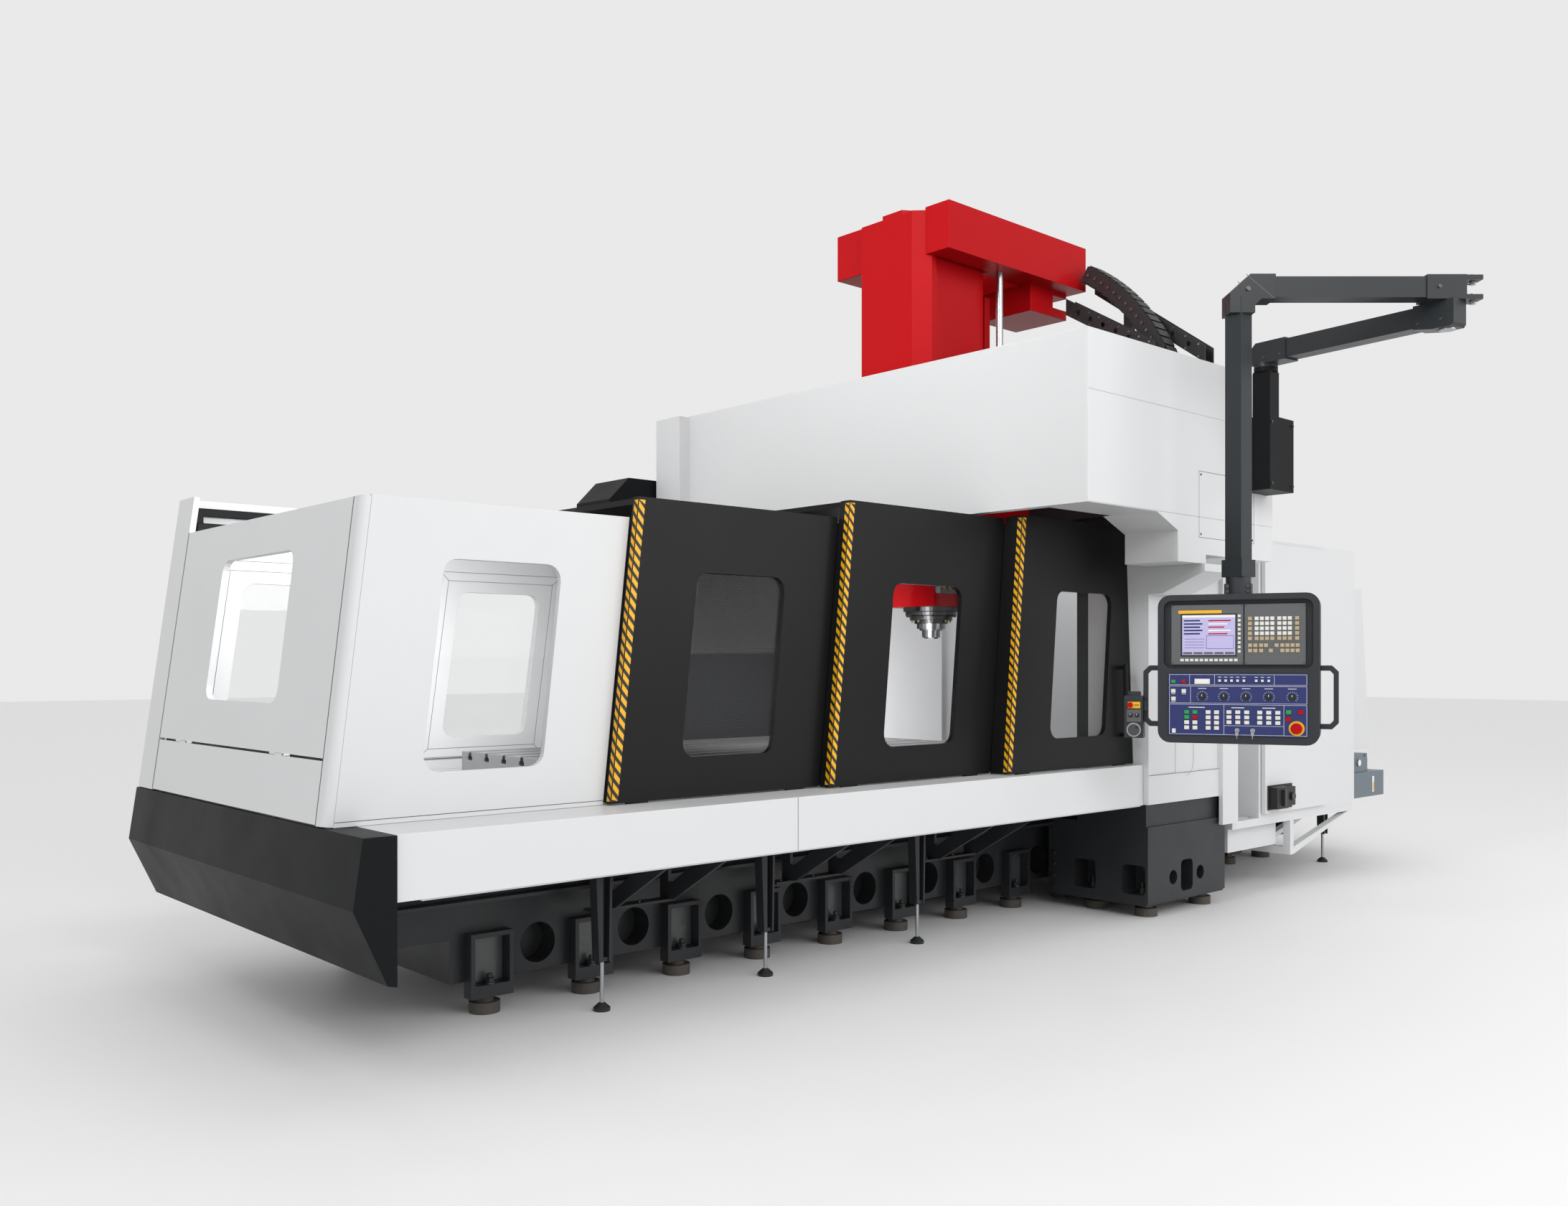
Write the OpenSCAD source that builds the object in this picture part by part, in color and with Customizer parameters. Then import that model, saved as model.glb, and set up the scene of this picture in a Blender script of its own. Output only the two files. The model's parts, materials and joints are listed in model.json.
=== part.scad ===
/* [Bed and floor] */
// Height of the levelling pads
pad_h = 85; // [60:5:120]
// Diameter of the levelling pads
pad_d = 150; // [120:5:180]
// Half width of the bed casting
bed_half_w = 750; // [700:10:800]
// From the front end of the enclosure to the bed
bed_inset = 260; // [230:10:300]
// From the front end of the enclosure to the bed's foot
foot_inset = 840; // [800:10:880]
// Rear end of the bed
bed_x1 = 4500; // [4450:10:4550]
// Height of the bed top over the floor
bed_top = 745; // [700:5:760]
// Spacing of the levelling pads along the bed
pad_pitch = 584; // [560:2:600]
// Diameter of the core holes in the bed sides
core_hole_d = 200; // [120:5:210]

/* [Columns and beam] */
// Front face of the columns
col_x0 = 770; // [765:5:780]
// Rear face of the columns
col_x1 = 1750; // [1720:10:1780]
// Clear width between the columns
col_gap = 2094; // [2080:2:2110]
// Width of a column
col_w = 556; // [540:2:570]
// Top of the columns
col_top = 2600; // [2590:1:2604]
// Height where the white column covers start
skirt_z = 758; // [740:2:780]
// Depth of the crossbeam casting
beam_depth = 760; // [700:10:800]
// Height of the crossbeam casting
beam_h = 900; // [860:10:920]
// From a column's outer side to the end of the beam cover
hood_over = 397; // [380:1:420]
// Front face of the beam cover
hood_x0 = -477; // [-490:1:-465]
// Rear face of the beam cover
hood_x1 = 1670; // [1660:5:1700]
// Underside of the beam cover
hood_z0 = 2610; // [2605:5:2625]
// Top edge of the beam cover
hood_z1 = 3610; // [3580:5:3640]
// Sheet thickness of covers and walls
sheet = 25; // [20:1:30]

/* [Enclosure] */
// Height of the ledge that carries the side walls
sill_z = 1020; // [1010:5:1030]
// Base plane of the near side wall, from the centreline
wall_y = 1232; // [1220:2:1240]
// Outer plane of the splash apron, from the centreline
apron_y = 1577; // [1570:1:1585]
// Lower edge of the splash apron
apron_z = 755; // [740:5:770]
// Front end of the enclosure at the ledge
front_x = -4610; // [-4620:5:-4600]
// Top of the near side wall
wall_top = 2392; // [2380:2:2400]
// Top of the far side wall
far_top = 2590; // [2586:1:2600]
// Inward lean of the near side walls, in degrees
wall_lean = 2; // [1:0.5:3]
// Slant of the door edges and the front end, in degrees
end_slant = 7.8; // [7:0.2:8.4]
// Lower edge of the windows
window_z0 = 1222; // [1200:2:1240]
// Upper edge of the windows
window_z1 = 2140; // [2120:2:2160]
// Width of a window
window_w = 592; // [570:2:610]
// Corner radius of a window
window_r = 70; // [50:2:90]

/* [Sliding doors] */
// Thickness of a door
door_t = 30; // [26:1:34]
// Outer planes of the three near doors, from the centreline
door_planes = [1285, 1365, 1500];
// Top edges of the three near doors
door_tops = [2490, 2580, 2590];
// Gap between neighbouring doors
door_gap = 6; // [5:1:8]

/* [Table] */
// Length of the table
table_l = 3000; // [2950:10:3020]
// Width of the table
table_w = 1800; // [1760:10:1840]
// Thickness of the table
table_t = 210; // [190:5:220]
// Height of the table top
table_top = 1150; // [1140:5:1160]
// Front end of the table in the stored pose
table_x0 = -2850; // [-2860:5:-2840]
// Number of clamping slots
slot_n = 9; // [5:1:11]

/* [Head] */
// Place of the spindle axis along the machine
spindle_x = 200; // [195:1:205]
// Place of the spindle axis across the machine
spindle_y = -220; // [-225:1:-215]
// Height of the spindle nose
nose_z = 1870; // [1860:5:1880]
// Outer width of the red tower
tower_w = 570; // [560:2:580]
// Front face of the tower
tower_x0 = -210; // [-215:1:-205]
// Rise of the tower over the saddle
tower_rise = 1180; // [1170:1:1190]

/* [Control pendant] */
// Length of the swivel arms
arm_l = 1210; // [1180:5:1230]
// Side of the arm tubes
tube = 120; // [110:2:130]
// Height of the lower arm
arm_z = 3650; // [3640:2:3660]
// Width of the pendant housing
pendant_w = 880; // [860:5:900]
// Height of the pendant housing
pendant_h = 860; // [840:5:880]

/* [Hidden] */
$fn = 48;
slip = 0.3;
tray_t = 12;
run_gap = 8;
arc_steps = 5;
white = [0.90, 0.91, 0.92];
dark = [0.17, 0.18, 0.20];
black = [0.10, 0.10, 0.11];
red = [0.80, 0.05, 0.07];
steel = [0.62, 0.64, 0.66];
grey = [0.32, 0.34, 0.36];
col_y0 = col_gap / 2;
col_y1 = col_y0 + col_w;
hood_half_l = col_y1 + hood_over;
bay_l = (col_x0 - front_x) / 4;
bed_x0 = front_x + bed_inset;
foot_x0 = front_x + foot_inset;
bay_x = [for (i = [0 : 4]) front_x + i * bay_l];
slope = tan(end_slant);
front_lean = end_slant;
corner_r = 40;
return_w = 82;
frame_t = 18;
far_return_w = 270;
bed_web_y = bed_half_w - 60;
bed_beam_y = bed_half_w + 60;
bed_beam_h = 185;
bed_foot_gap = 75;
pad_y = bed_half_w - 70;
pad_first = foot_x0 + 190;
foot_half_l = 115;
foot_h = 310;
bracket_z0 = 465;
bracket_xs = [for (pair = [0 : 2]) for (side = [0, 1]) bed_x0 + 1335 + pair * 1225 + side * 365];
guide_y = 420;
guide_h = 55;
guide_w = 110;
table_z0 = table_top - table_t;
table_x1 = table_x0 + table_l;
rear_l = (bed_x1 - table_x1) / 3;
cover_t = 8;
cover_half_w = 880;
cover_plate = 12;
layer_step = cover_t + run_gap;
cover_top = table_z0 - run_gap;
saddle_x0 = 480;
beam_x0 = col_x0 + 60;
beam_z0 = col_top;
rail_w = 90;
rail_t = 60;
saddle_x1 = beam_x0 - rail_t - slip;
ram_x1 = saddle_x0 - run_gap;
head_z0 = 2080;
saddle_top = beam_z0 + beam_h + 60;
tower_top = saddle_top + tower_rise;
box_top = tower_top + 20;
box_h = 320;
top_box_z0 = box_top - box_h;
box_y = [-680, 370];
box_opening_y = [-440, 180];
lower_block_h = 190;
box_x0 = tower_x0 + 63;
box_x1 = 1405;
tower_chamfer = 95;
tower_recess = 40;
chain_y = 113;
chain_z = top_box_z0 - 1284;
chain_r = 1630;
chain_links = 14;
chain_a0 = 123.2;
chain_a1 = 155;
link_l = 80;
chain_x0 = 1290;
chain_w = 150;
chain_t = 110;
channel_xs = [1140, 1500];
channel_w = 120;
tray_y = [-1000, -600];
channel_y = [-690, -1420, -1595];
channel_rise = [-100, 120];
channel_low = top_box_z0 - 545;
rod_d = 50;
rod_x = saddle_x0 + 70;
rod_y = spindle_y - 330;
// The duct is the part of the beam cover that comes down beside the column
seam_z = 3254;
far_step = 100;
far_step_t = 25;
far_step_x = [hood_x0 - far_step + 60, hood_x0 + 140];
far_step_z = [hood_z0 + 15, hood_z1 - 190];
duct_x0 = 478;
step_t = 14;
duct_step_x = 808;
duct_z0 = 2320;
duct_z1 = 2510;
duct_y = col_y1 + 15;
duct_chamfer = 242;
flap_top = 1296;
flap_gap = 11;
chute_x1 = front_x + 140;
knuckle_r = 5;
knuckle_l = 70;
hinge_z = flap_top - sill_z - flap_gap / 2;
hinge_ys = [-700, 560];
panel_seam = 1800;
cab_hinge_x = 3258;
cab_hinge_r = 7;
cab_hinge_zs = [700, 1500, 2300];
post_x = 1330;
post_y = -hood_half_l - 130;
lower_arm_angle = -97.8;
upper_arm_angle = 137.7;
pendant_turn = 203.8;
pendant_z0 = 1225;
pendant_d = 200;
panel_h = 420;
hang_turn = 175;
drop = 106;
elbow_x = post_x + arm_l * cos(lower_arm_angle);
elbow_y = post_y + arm_l * sin(lower_arm_angle);
hang_x = elbow_x + arm_l * cos(upper_arm_angle);
hang_y = elbow_y + arm_l * sin(upper_arm_angle);
upper_arm_z = arm_z + tube + 20;
elbow_d = 60;
cab_x0 = 2240;
cab_x1 = 3800;
cab_y = 1600;
cab_z0 = 555;
cab_z1 = 2600;
cab_front_x1 = 3220;
frame_tube = 55;
frame_z = cab_z0 - frame_tube;
brace_foot_z = 240;
window_shift = 23.5;
window_inset = (bay_l - window_w) / 2 + window_shift;
flap_slit = 6;
flap_ys = [-wall_y + return_w + flap_slit, wall_y - far_return_w - flap_slit];
end_window = [[-560, 490], [-530, 1185], [360, 1185], [360, 490]];
apron_lip = 23;
chute_low = 430;
roof_t = 28;
roof_drop = 4;
roof_inset = 15;
rail_size = [40, 45];
rail_ys = [wall_y - 172, wall_y - 92];
rail_levels = [for (i = [0, 1]) door_tops[i] - roof_drop - roof_t - 6];
inner_strip = 100;
skin_t = 12;
rear_strip_w = 110;
mag_x = [-1000, 700];
mag_z = [hood_z0 - 160, hood_z0 + 525];
mag_d = 460;
mag_chamfer = 180;
post_z = [2820, 3300];
pump_end = 330;
tank_l = 600;
tank_z = [585, 790];
pump_z = 944;
end_wall_t = 60;
rear_sheet_z = 940;
rear_chute_l = 430;

// Unit vector from one point to another
function toward(a, b) = (b - a) / norm(b - a);

// Points of one rounded corner of an outline
function corner(a, p, b, r) =
    let (u = toward(p, a), v = toward(p, b), half = acos(u * v) / 2)
    let (c = p + (u + v) / norm(u + v) * r / sin(half))
    let (s = p + u * r / tan(half) - c, e = p + v * r / tan(half) - c)
    let (a0 = atan2(s[1], s[0]), d = atan2(e[1], e[0]) - a0)
    let (turn = d > 180 ? d - 360 : d < -180 ? d + 360 : d)
    [for (i = [0 : arc_steps]) c + r * [cos(a0 + turn * i / arc_steps), sin(a0 + turn * i / arc_steps)]];

// An outline with all its corners rounded
function rounded(pts, r) =
    let (n = len(pts))
    [for (i = [0 : n - 1]) each corner(pts[(i + n - 1) % n], pts[i], pts[(i + 1) % n], r)];

// Four-sided outline whose side edges follow the slant of the front end
function slanted(x0, x1, z0, z1) =
    [[x0 + (z0 - sill_z) * slope, z0 - sill_z], [x1 + (z0 - sill_z) * slope, z0 - sill_z],
     [x1 + (z1 - sill_z) * slope, z1 - sill_z], [x0 + (z1 - sill_z) * slope, z1 - sill_z]];

module at_both_sides() {
    children();
    mirror([0, 1, 0]) children();
}

module block(x0, x1, y0, y1, z0, z1) {
    translate([x0, y0, z0]) cube([x1 - x0, y1 - y0, z1 - z0]);
}

// Sheet drawn in X and Z, standing with its outer face at -y and leaning inward
module near_sheet(y, t, lean) {
    translate([0, -y, sill_z]) rotate([-lean, 0, 0]) translate([0, t, 0]) rotate([90, 0, 0])
        linear_extrude(t) children();
}

// Profile drawn in X and Z, extruded across the machine
module across(y0, y1) {
    translate([0, y1, 0]) rotate([90, 0, 0]) linear_extrude(y1 - y0) children();
}

// Profile drawn in Y and Z, extruded along the machine
module along(x0, x1) {
    translate([x0, 0, 0]) rotate([90, 0, 90]) linear_extrude(x1 - x0) children();
}

module window_outline(x0) {
    polygon(rounded(slanted(x0, x0 + window_w, window_z0, window_z1), window_r));
}

// Bed casting: a web with side beams and feet, core holes and the two table guideways
module bed() {
    color(dark) difference() {
        union() {
            block(foot_x0, bed_x1, -bed_web_y, bed_web_y, pad_h + bed_foot_gap, bed_top);
            block(bed_x0, foot_x0 + 1, -bed_web_y, bed_web_y, bed_top - bed_beam_h - 190, bed_top);
            at_both_sides() {
                side_beam();
                for (x = [pad_first : pad_pitch : bed_x1 - 100]) foot_block(x);
                block(bed_x0, bed_x1, -guide_y - guide_w / 2, -guide_y + guide_w / 2, bed_top, bed_top + guide_h);
            }
        }
        for (x = [pad_first + pad_pitch / 2 : pad_pitch : bed_x1 - 100])
            at_both_sides() translate([x, -bed_web_y - 1, pad_h + 210]) rotate([-90, 0, 0])
                cylinder(d = core_hole_d, h = 130);
    }
}

// Beam along the side of the bed, a channel with a lip at its lower edge
module side_beam() {
    lip = 40;
    t = 18;
    low = bed_top - bed_beam_h;
    along(bed_x0, col_x0 - 1) polygon([[-bed_web_y, bed_top], [-bed_beam_y, bed_top], [-bed_beam_y, bed_top - t],
        [-bed_beam_y + 30, bed_top - t], [-bed_beam_y + 30, low + t], [-bed_beam_y - lip, low + t],
        [-bed_beam_y - lip, low], [-bed_web_y, low]]);
    along(col_x1 + 1, bed_x1) polygon([[-bed_web_y, bed_top], [-bed_beam_y, bed_top], [-bed_beam_y, low],
        [-bed_web_y, low]]);
}

// Foot over a levelling pad, with a pocket that opens to the side for its bolt
module foot_block(x) {
    wall = 22;
    z0 = pad_h;
    difference() {
        block(x - foot_half_l, x + foot_half_l, -bed_half_w - 10, -bed_web_y + 1, z0, z0 + foot_h);
        block(x - foot_half_l + wall, x + foot_half_l - wall, -bed_half_w - 11, -bed_web_y, z0 + 60, z0 + foot_h - wall);
    }
}

module levelling_pads() {
    color(grey) {
        for (x = [pad_first : pad_pitch : bed_x1 - 100]) at_both_sides() pad_at(x, -pad_y);
        for (x = [col_x0 + 150, col_x1 - 150], y = [-col_y1 + 110, -col_y0 - 60]) at_both_sides() pad_at(x, y);
    }
}

module pad_at(x, y) {
    translate([x, y, 0]) {
        cylinder(d = pad_d, h = pad_h - 30);
        cylinder(d = pad_d * 0.6, h = pad_h);
    }
}

// Column with its foot that reaches in to the bed, pad pockets and core holes
module column_casting() {
    difference() {
        union() {
            block(col_x0, col_x1, -col_y1 + step_t, -col_y0, pad_h, col_top);
            block(col_x0, col_x1, -col_y1, -col_y0, pad_h + step_t, skirt_z - 150);
            block(col_x0, col_x1, -col_y0, -bed_beam_y, pad_h, skirt_z - 150);
            block(col_x0 + 180, col_x1, -col_y0, -bed_beam_y, pad_h, skirt_z);
        }
        translate([col_x0 + 480, -col_y1 - 1, pad_h + 165]) {
            for (side = [-1, 1]) translate([side * 172, 0, 0]) rotate([-90, 0, 0]) cylinder(d = 96, h = 61);
            rotate([-90, 0, 0]) linear_extrude(91) polygon(rounded([[-75, -105], [75, -105], [75, 105], [-75, 105]], 35));
        }
        for (y = [-col_y1 + 110, -col_y0 - 60]) translate([col_x0 - 1, y, pad_h + 165]) rotate([90, 0, 90])
            linear_extrude(170) polygon(rounded([[-90, -95], [90, -95], [90, 100], [-90, 100]], 30));
    }
}

module column_near() {
    color(dark) column_casting();
}

module column_far() {
    color(dark) mirror([0, 1, 0]) column_casting();
}

// White cover of a column: its outer sides with recessed panels, the inner side and the rear strip
module column_skin() {
    y0 = -col_y1 - skin_t;
    top = col_top - slip;
    panel_z = [950, 2150];
    strip_x = col_x1 + rear_strip_w;
    strip_z = [skirt_z - 200, duct_z0 - 30];
    difference() {
        union() {
            block(col_x0 - skin_t, col_x1 + skin_t, y0, -col_y0 - inner_strip, skirt_z, top);
            block(col_x1 + slip, col_x1 + skin_t, -col_y0 - inner_strip - 1, -col_y0 + skin_t, skirt_z + slip, top);
            block(col_x0 + 20, col_x1 + skin_t, -col_y0 + slip, -col_y0 + skin_t, skirt_z + slip, top);
            block(col_x1 - 100, strip_x, y0 - 30, y0, strip_z[0], strip_z[1]);
            block(col_x1 + skin_t, strip_x, y0, -wall_y - slip, strip_z[0], strip_z[1]);
            corbel(y0);
        }
        block(col_x0 - slip, col_x1 + slip, -col_y1 - slip, -col_y0 + slip, skirt_z - 1, col_top + 1);
        for (x = [col_x0 + 20, col_x0 + 570])
            across_recess(x, y0) polygon(rounded([[0, panel_z[0]], [300, panel_z[0]], [300, panel_z[1]],
                [0, panel_z[1]]], 12));
        across_recess(col_x0 + 350, y0) polygon(rounded([[0, panel_z[0] - 25], [200, panel_z[0] - 25],
            [200, panel_z[1]], [0, panel_z[1]]], 99));
    }
}

module across_recess(x, y) {
    translate([x, 0, 0]) across(y - 1, y + 6) children();
}

// Slanted bracket that carries the duct
module corbel(y0) {
    along(col_x0 - skin_t, col_x0 + 330) polygon([[y0, duct_z0 - 180], [y0 - 100, duct_z0 - 180], [-hood_half_l - 20, duct_z0 - 48],
        [-hood_half_l - 20, duct_z0 - slip], [y0, duct_z0 - slip]]);
}

module column_cover_near() {
    color(white) column_skin();
}

module column_cover_far() {
    color(white) mirror([0, 1, 0]) column_skin();
}

// Cross rail casting with its two linear rails
module crossbeam() {
    color(dark) difference() {
        union() {
            block(beam_x0, beam_x0 + beam_depth, -col_y1, col_y1, beam_z0, beam_z0 + beam_h);
            for (z = [beam_z0 + 80, beam_z0 + beam_h - 80 - rail_w])
                block(beam_x0 - rail_t, beam_x0, -col_y1, col_y1, z, z + rail_w);
        }
        for (y = [-1200 : 400 : 1200])
            translate([beam_x0 + beam_depth - 60, y, beam_z0 + beam_h / 2]) rotate([0, 90, 0])
                cylinder(d = 220, h = 61);
    }
}

// Open-topped shell round the crossbeam, with a slot below for the ram and a duct down the side of each column
module beam_cover() {
    color(white) {
        difference() {
            block(hood_x0, hood_x1, -hood_half_l, hood_half_l, hood_z0, hood_z1);
            block(hood_x0 + sheet, hood_x1 - sheet, -hood_half_l + sheet, hood_half_l - sheet, hood_z0 + sheet, hood_z1 + 1);
            block(hood_x0 + 80, hood_x1 - 80, -col_y1 - 70, col_y1 + 70, hood_z0 - 1, hood_z0 + sheet + 1);
            at_both_sides() for (z = [hood_z0 - 1, seam_z]) seam_groove(z);
        }
        across(-hood_half_l, -duct_y) duct_outline();
        across(duct_y, hood_half_l) duct_outline();
        block(hood_x0 - far_step, hood_x0 + 1, hood_half_l - 330, hood_half_l - 30, hood_z0 + 15, hood_z1 - 8);
        block(far_step_x[0], far_step_x[1], hood_half_l - 31, hood_half_l + far_step_t, far_step_z[0], far_step_z[1]);
    }
}

// Joint line of the cover sheets, on the sides only
module seam_groove(z) {
    block(hood_x0 - 1, hood_x1 + 1, -hood_half_l - 1, -hood_half_l + 4, z, z + 6);
}

module duct_outline() {
    polygon([[duct_x0 - duct_chamfer, hood_z0], [duct_x0, duct_z1], [duct_x0, duct_z0], [duct_step_x, duct_z0],
        [duct_step_x, duct_z0 + 57], [hood_x1, duct_z0 + 57], [hood_x1, hood_z0]]);
}

// Splash apron with the ledge that carries the near doors
module apron_near() {
    color(white) {
        block(chute_x1, col_x0 - 14, -apron_y, -apron_y + 20, apron_z, sill_z);
        block(chute_x1, col_x0 - 14, -apron_y + 20, -wall_y + 40, sill_z - 12, sill_z);
        block(chute_x1, col_x0 - 14, -wall_y + 20, -wall_y + 40, bed_top + tray_t, sill_z - 12);
        block(bed_x0, col_x0 - 14, -apron_y + 20, -bed_half_w, bed_top, bed_top + tray_t);
    }
}

// Low wall on the far side that carries the fixed far walls
module apron_far() {
    color(white) mirror([0, 1, 0]) {
        block(chute_x1, col_x0 - 14, -wall_y, -wall_y + door_t, bed_top + tray_t, sill_z);
        block(bed_x0, col_x0 - 14, -wall_y, -bed_half_w, bed_top, bed_top + tray_t);
    }
}

module side_wall_near() {
    color(white) {
        near_sheet(wall_y, door_t, wall_lean) difference() {
            polygon(slanted(front_x + corner_r, bay_x[1] - 3, sill_z + door_t * sin(wall_lean), wall_top));
            window_outline(bay_x[0] + window_inset);
        }
        mirror([0, 1, 0]) corner_post(wall_lean, wall_top, return_w);
    }
}

// Rounded corner where a side wall turns onto the end face, with its return strip
module corner_post(lean, top, w) {
    translate([front_x, wall_y, sill_z + corner_r * sin(front_lean) + w * sin(lean)]) rotate([lean, front_lean, 0])
        linear_extrude(top - sill_z) difference() {
            union() {
                translate([corner_r, -corner_r]) intersection() {
                    circle(corner_r);
                    translate([-corner_r, 0]) square(corner_r);
                }
                translate([0, -w]) square([door_t, w - corner_r]);
            }
            translate([corner_r, -corner_r]) circle(corner_r - door_t);
        }
}

module side_wall_far() {
    color(white) {
        mirror([0, 1, 0]) near_sheet(wall_y, door_t, 0) difference() {
            polygon([[front_x + corner_r, 0], [bay_x[2] - 3, 0], [bay_x[2] - 3, far_top - sill_z],
                [front_x + corner_r + (far_top - sill_z) * slope, far_top - sill_z]]);
            for (i = [0, 1]) window_outline(bay_x[i] + window_inset);
        }
        corner_post(0, far_top, far_return_w);
        for (i = [0, 1]) mirror([0, 1, 0]) near_sheet(wall_y - door_t, frame_t, 0) difference() {
            polygon(slanted(bay_x[i] + window_inset - 150, bay_x[i] + window_inset + 150 + window_w, window_z0 - 130, window_z1 + 130));
            window_outline(bay_x[i] + window_inset);
        }
    }
}

// One half of a hinge of the flap
module knuckle(y, h, z0, z1) {
    translate([knuckle_r, y, hinge_z]) rotate([-90, 0, 0]) cylinder(r = knuckle_r, h = h);
    translate([0, y, z0]) cube([6, h, z1 - z0]);
}

module end_sheet() {
    at_end() rotate([90, 0, 90]) linear_extrude(door_t) children();
}

// Leaning end wall with its window, above the flap
module front_wall() {
    y0 = -wall_y + return_w + slip;
    y1 = wall_y - far_return_w - slip;
    top = wall_top - sill_z;
    color(white) end_sheet() difference() {
        polygon([[y0, 0], [y0 + top * sin(wall_lean), top], [y1, top], [y1, 0]]);
        polygon(rounded(end_window, window_r));
        translate([flap_ys[0] - flap_slit, -1]) square([flap_ys[1] - flap_ys[0] + 2 * flap_slit, flap_top - sill_z + 1]);
    }
    color(white) at_end() for (y = hinge_ys) knuckle(y + knuckle_l + slip, knuckle_l, hinge_z, hinge_z + flap_gap / 2);
}

module at_end() {
    translate([front_x, 0, sill_z + door_t * sin(front_lean)]) rotate([0, front_lean, 0]) children();
}

module access_flap() {
    flap_h = flap_top - sill_z - flap_gap;
    color(white) {
        end_sheet() polygon([[flap_ys[0], flap_slit], [flap_ys[0] + flap_h * sin(wall_lean), flap_h],
            [flap_ys[1], flap_h], [flap_ys[1], flap_slit]]);
        at_end() for (y = hinge_ys) knuckle(y, knuckle_l, hinge_z - flap_gap / 2 - 1, hinge_z);
    }
}

// Sloping chip guard under the front end
module front_chute() {
    color(dark) across(-apron_y - apron_lip, wall_y) polygon([[front_x, sill_z], [front_x - 40, bed_top],
        [front_x + 100, chute_low + 10], [chute_x1 - slip, chute_low], [chute_x1 - slip, sill_z]]);
}

// Fixed side walls behind the columns and the rear end wall with its guard sheet
module rear_walls() {
    x0 = bed_x1 + end_wall_t - 1;
    color(white) {
        at_both_sides() {
            block(col_x1 + skin_t + 2, bed_x1 + 1, -wall_y, -wall_y + door_t, bed_top, wall_top);
            block(col_x1 + skin_t + 2, bed_x1 + 1, -wall_y + door_t, -bed_half_w, bed_top, bed_top + tray_t);
        }
        block(bed_x1 + slip, bed_x1 + end_wall_t, -wall_y, wall_y, bed_top, wall_top);
        across(-wall_y, -wall_y + 20) polygon([[x0, rear_sheet_z], [bed_x1 + rear_chute_l, rear_sheet_z],
            [bed_x1 + 260, wall_top - 50], [x0, wall_top - 50]]);
    }
}

// Chip chute at the rear end
module rear_chute() {
    x0 = bed_x1 + slip;
    x1 = bed_x1 + rear_chute_l;
    color(dark) across(-wall_y, wall_y) polygon([[x0, chute_low], [bed_x1 + 200, chute_low + 130],
        [x1, chute_low + 130], [x1, chute_low + 270], [x0, bed_top - 5]]);
}

// Rails along the far wall that carry the door roofs
module roof_rails() {
    w = rail_size[0];
    h = rail_size[1];
    color(black) {
        for (i = [0, 1])
            block(bay_x[0] + bed_inset, bay_x[3], rail_ys[i], rail_ys[i] + w, rail_levels[i] - h, rail_levels[i]);
        for (x = [bay_x[0] + bed_inset + 20, bay_x[1], bay_x[2] - 100]) {
            block(x, x + w, rail_ys[0], wall_y - door_t, rail_levels[0] - 85, rail_levels[0] - h);
            block(x, x + w, rail_ys[1], wall_y - door_t, rail_levels[0] - h, rail_levels[1] - h);
        }
    }
}

// Triangular brackets between the bed and the apron, in pairs on a foot plate
module apron_brackets() {
    color(dark) at_both_sides() {
        for (x = bracket_xs) bracket_plate(x);
        for (i = [0 : 2 : len(bracket_xs) - 1]) {
            block(bracket_xs[i] - 110, bracket_xs[i + 1] + 40, -bed_beam_y - 120, -bed_beam_y - 41, bracket_z0 - 12, bracket_z0);
            block(bracket_xs[i] + 90, bracket_xs[i + 1] + 200, -bed_beam_y - 330, -bed_beam_y - 290,
                bed_top - 50, bed_top - slip);
        }
    }
}

module bracket_plate(x) {
    y0 = -bed_beam_y - 41;
    top = bed_top - slip;
    along(x, x + 22) difference() {
        polygon([[y0, bracket_z0], [y0, top], [y0 - 520, top], [y0 - 520, top - 40], [y0 - 110, bracket_z0]]);
        polygon(rounded([[y0 - 70, bracket_z0 + 70], [y0 - 70, top - 45], [y0 - 330, top - 45]], 16));
    }
}

// Folded legs with threaded feet under the enclosure
module enclosure_legs() {
    front_y = wall_y - 182;
    rear_y = wall_y - 42;
    color(dark) for (at = [[bay_x[1] + 115, front_y], [bay_x[2] - 170, front_y], [bay_x[3] - 295, front_y],
            [bed_x1 - 390, rear_y]], side = [-1, 1])
        translate([at[0], side * at[1], 0]) leg();
}

module leg() {
    top = bed_top - slip;
    difference() {
        across(-30, 30) polygon([[-55, top], [-34, 240], [34, 240], [45, top]]);
        across(-31, 12) polygon([[-12, top + 1], [-12, 239], [22, 239], [30, top + 1]]);
    }
    translate([0, 0, 30]) cylinder(d = 20, h = 240);
    translate([-21, -21, 240]) cube([42, 42, 20]);
    cylinder(d = 84, h = 16);
    translate([0, 0, 16]) cylinder(d1 = 84, d2 = 34, h = 22);
}

// Black hood of the tool magazine on the far end of the beam
module magazine_housing() {
    color(black) difference() {
        across(hood_half_l + slip, hood_half_l + mag_d) polygon([[mag_x[0], mag_z[0]],
            [mag_x[0], mag_z[1] - mag_chamfer], [mag_x[0] + mag_chamfer, mag_z[1]], [mag_x[1], mag_z[1]],
            [mag_x[1], mag_z[0]]]);
        block(far_step_x[0] - slip, far_step_x[1] + slip, hood_half_l, hood_half_l + far_step_t + slip,
            far_step_z[0] - slip, far_step_z[1] + slip);
    }
}

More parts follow.
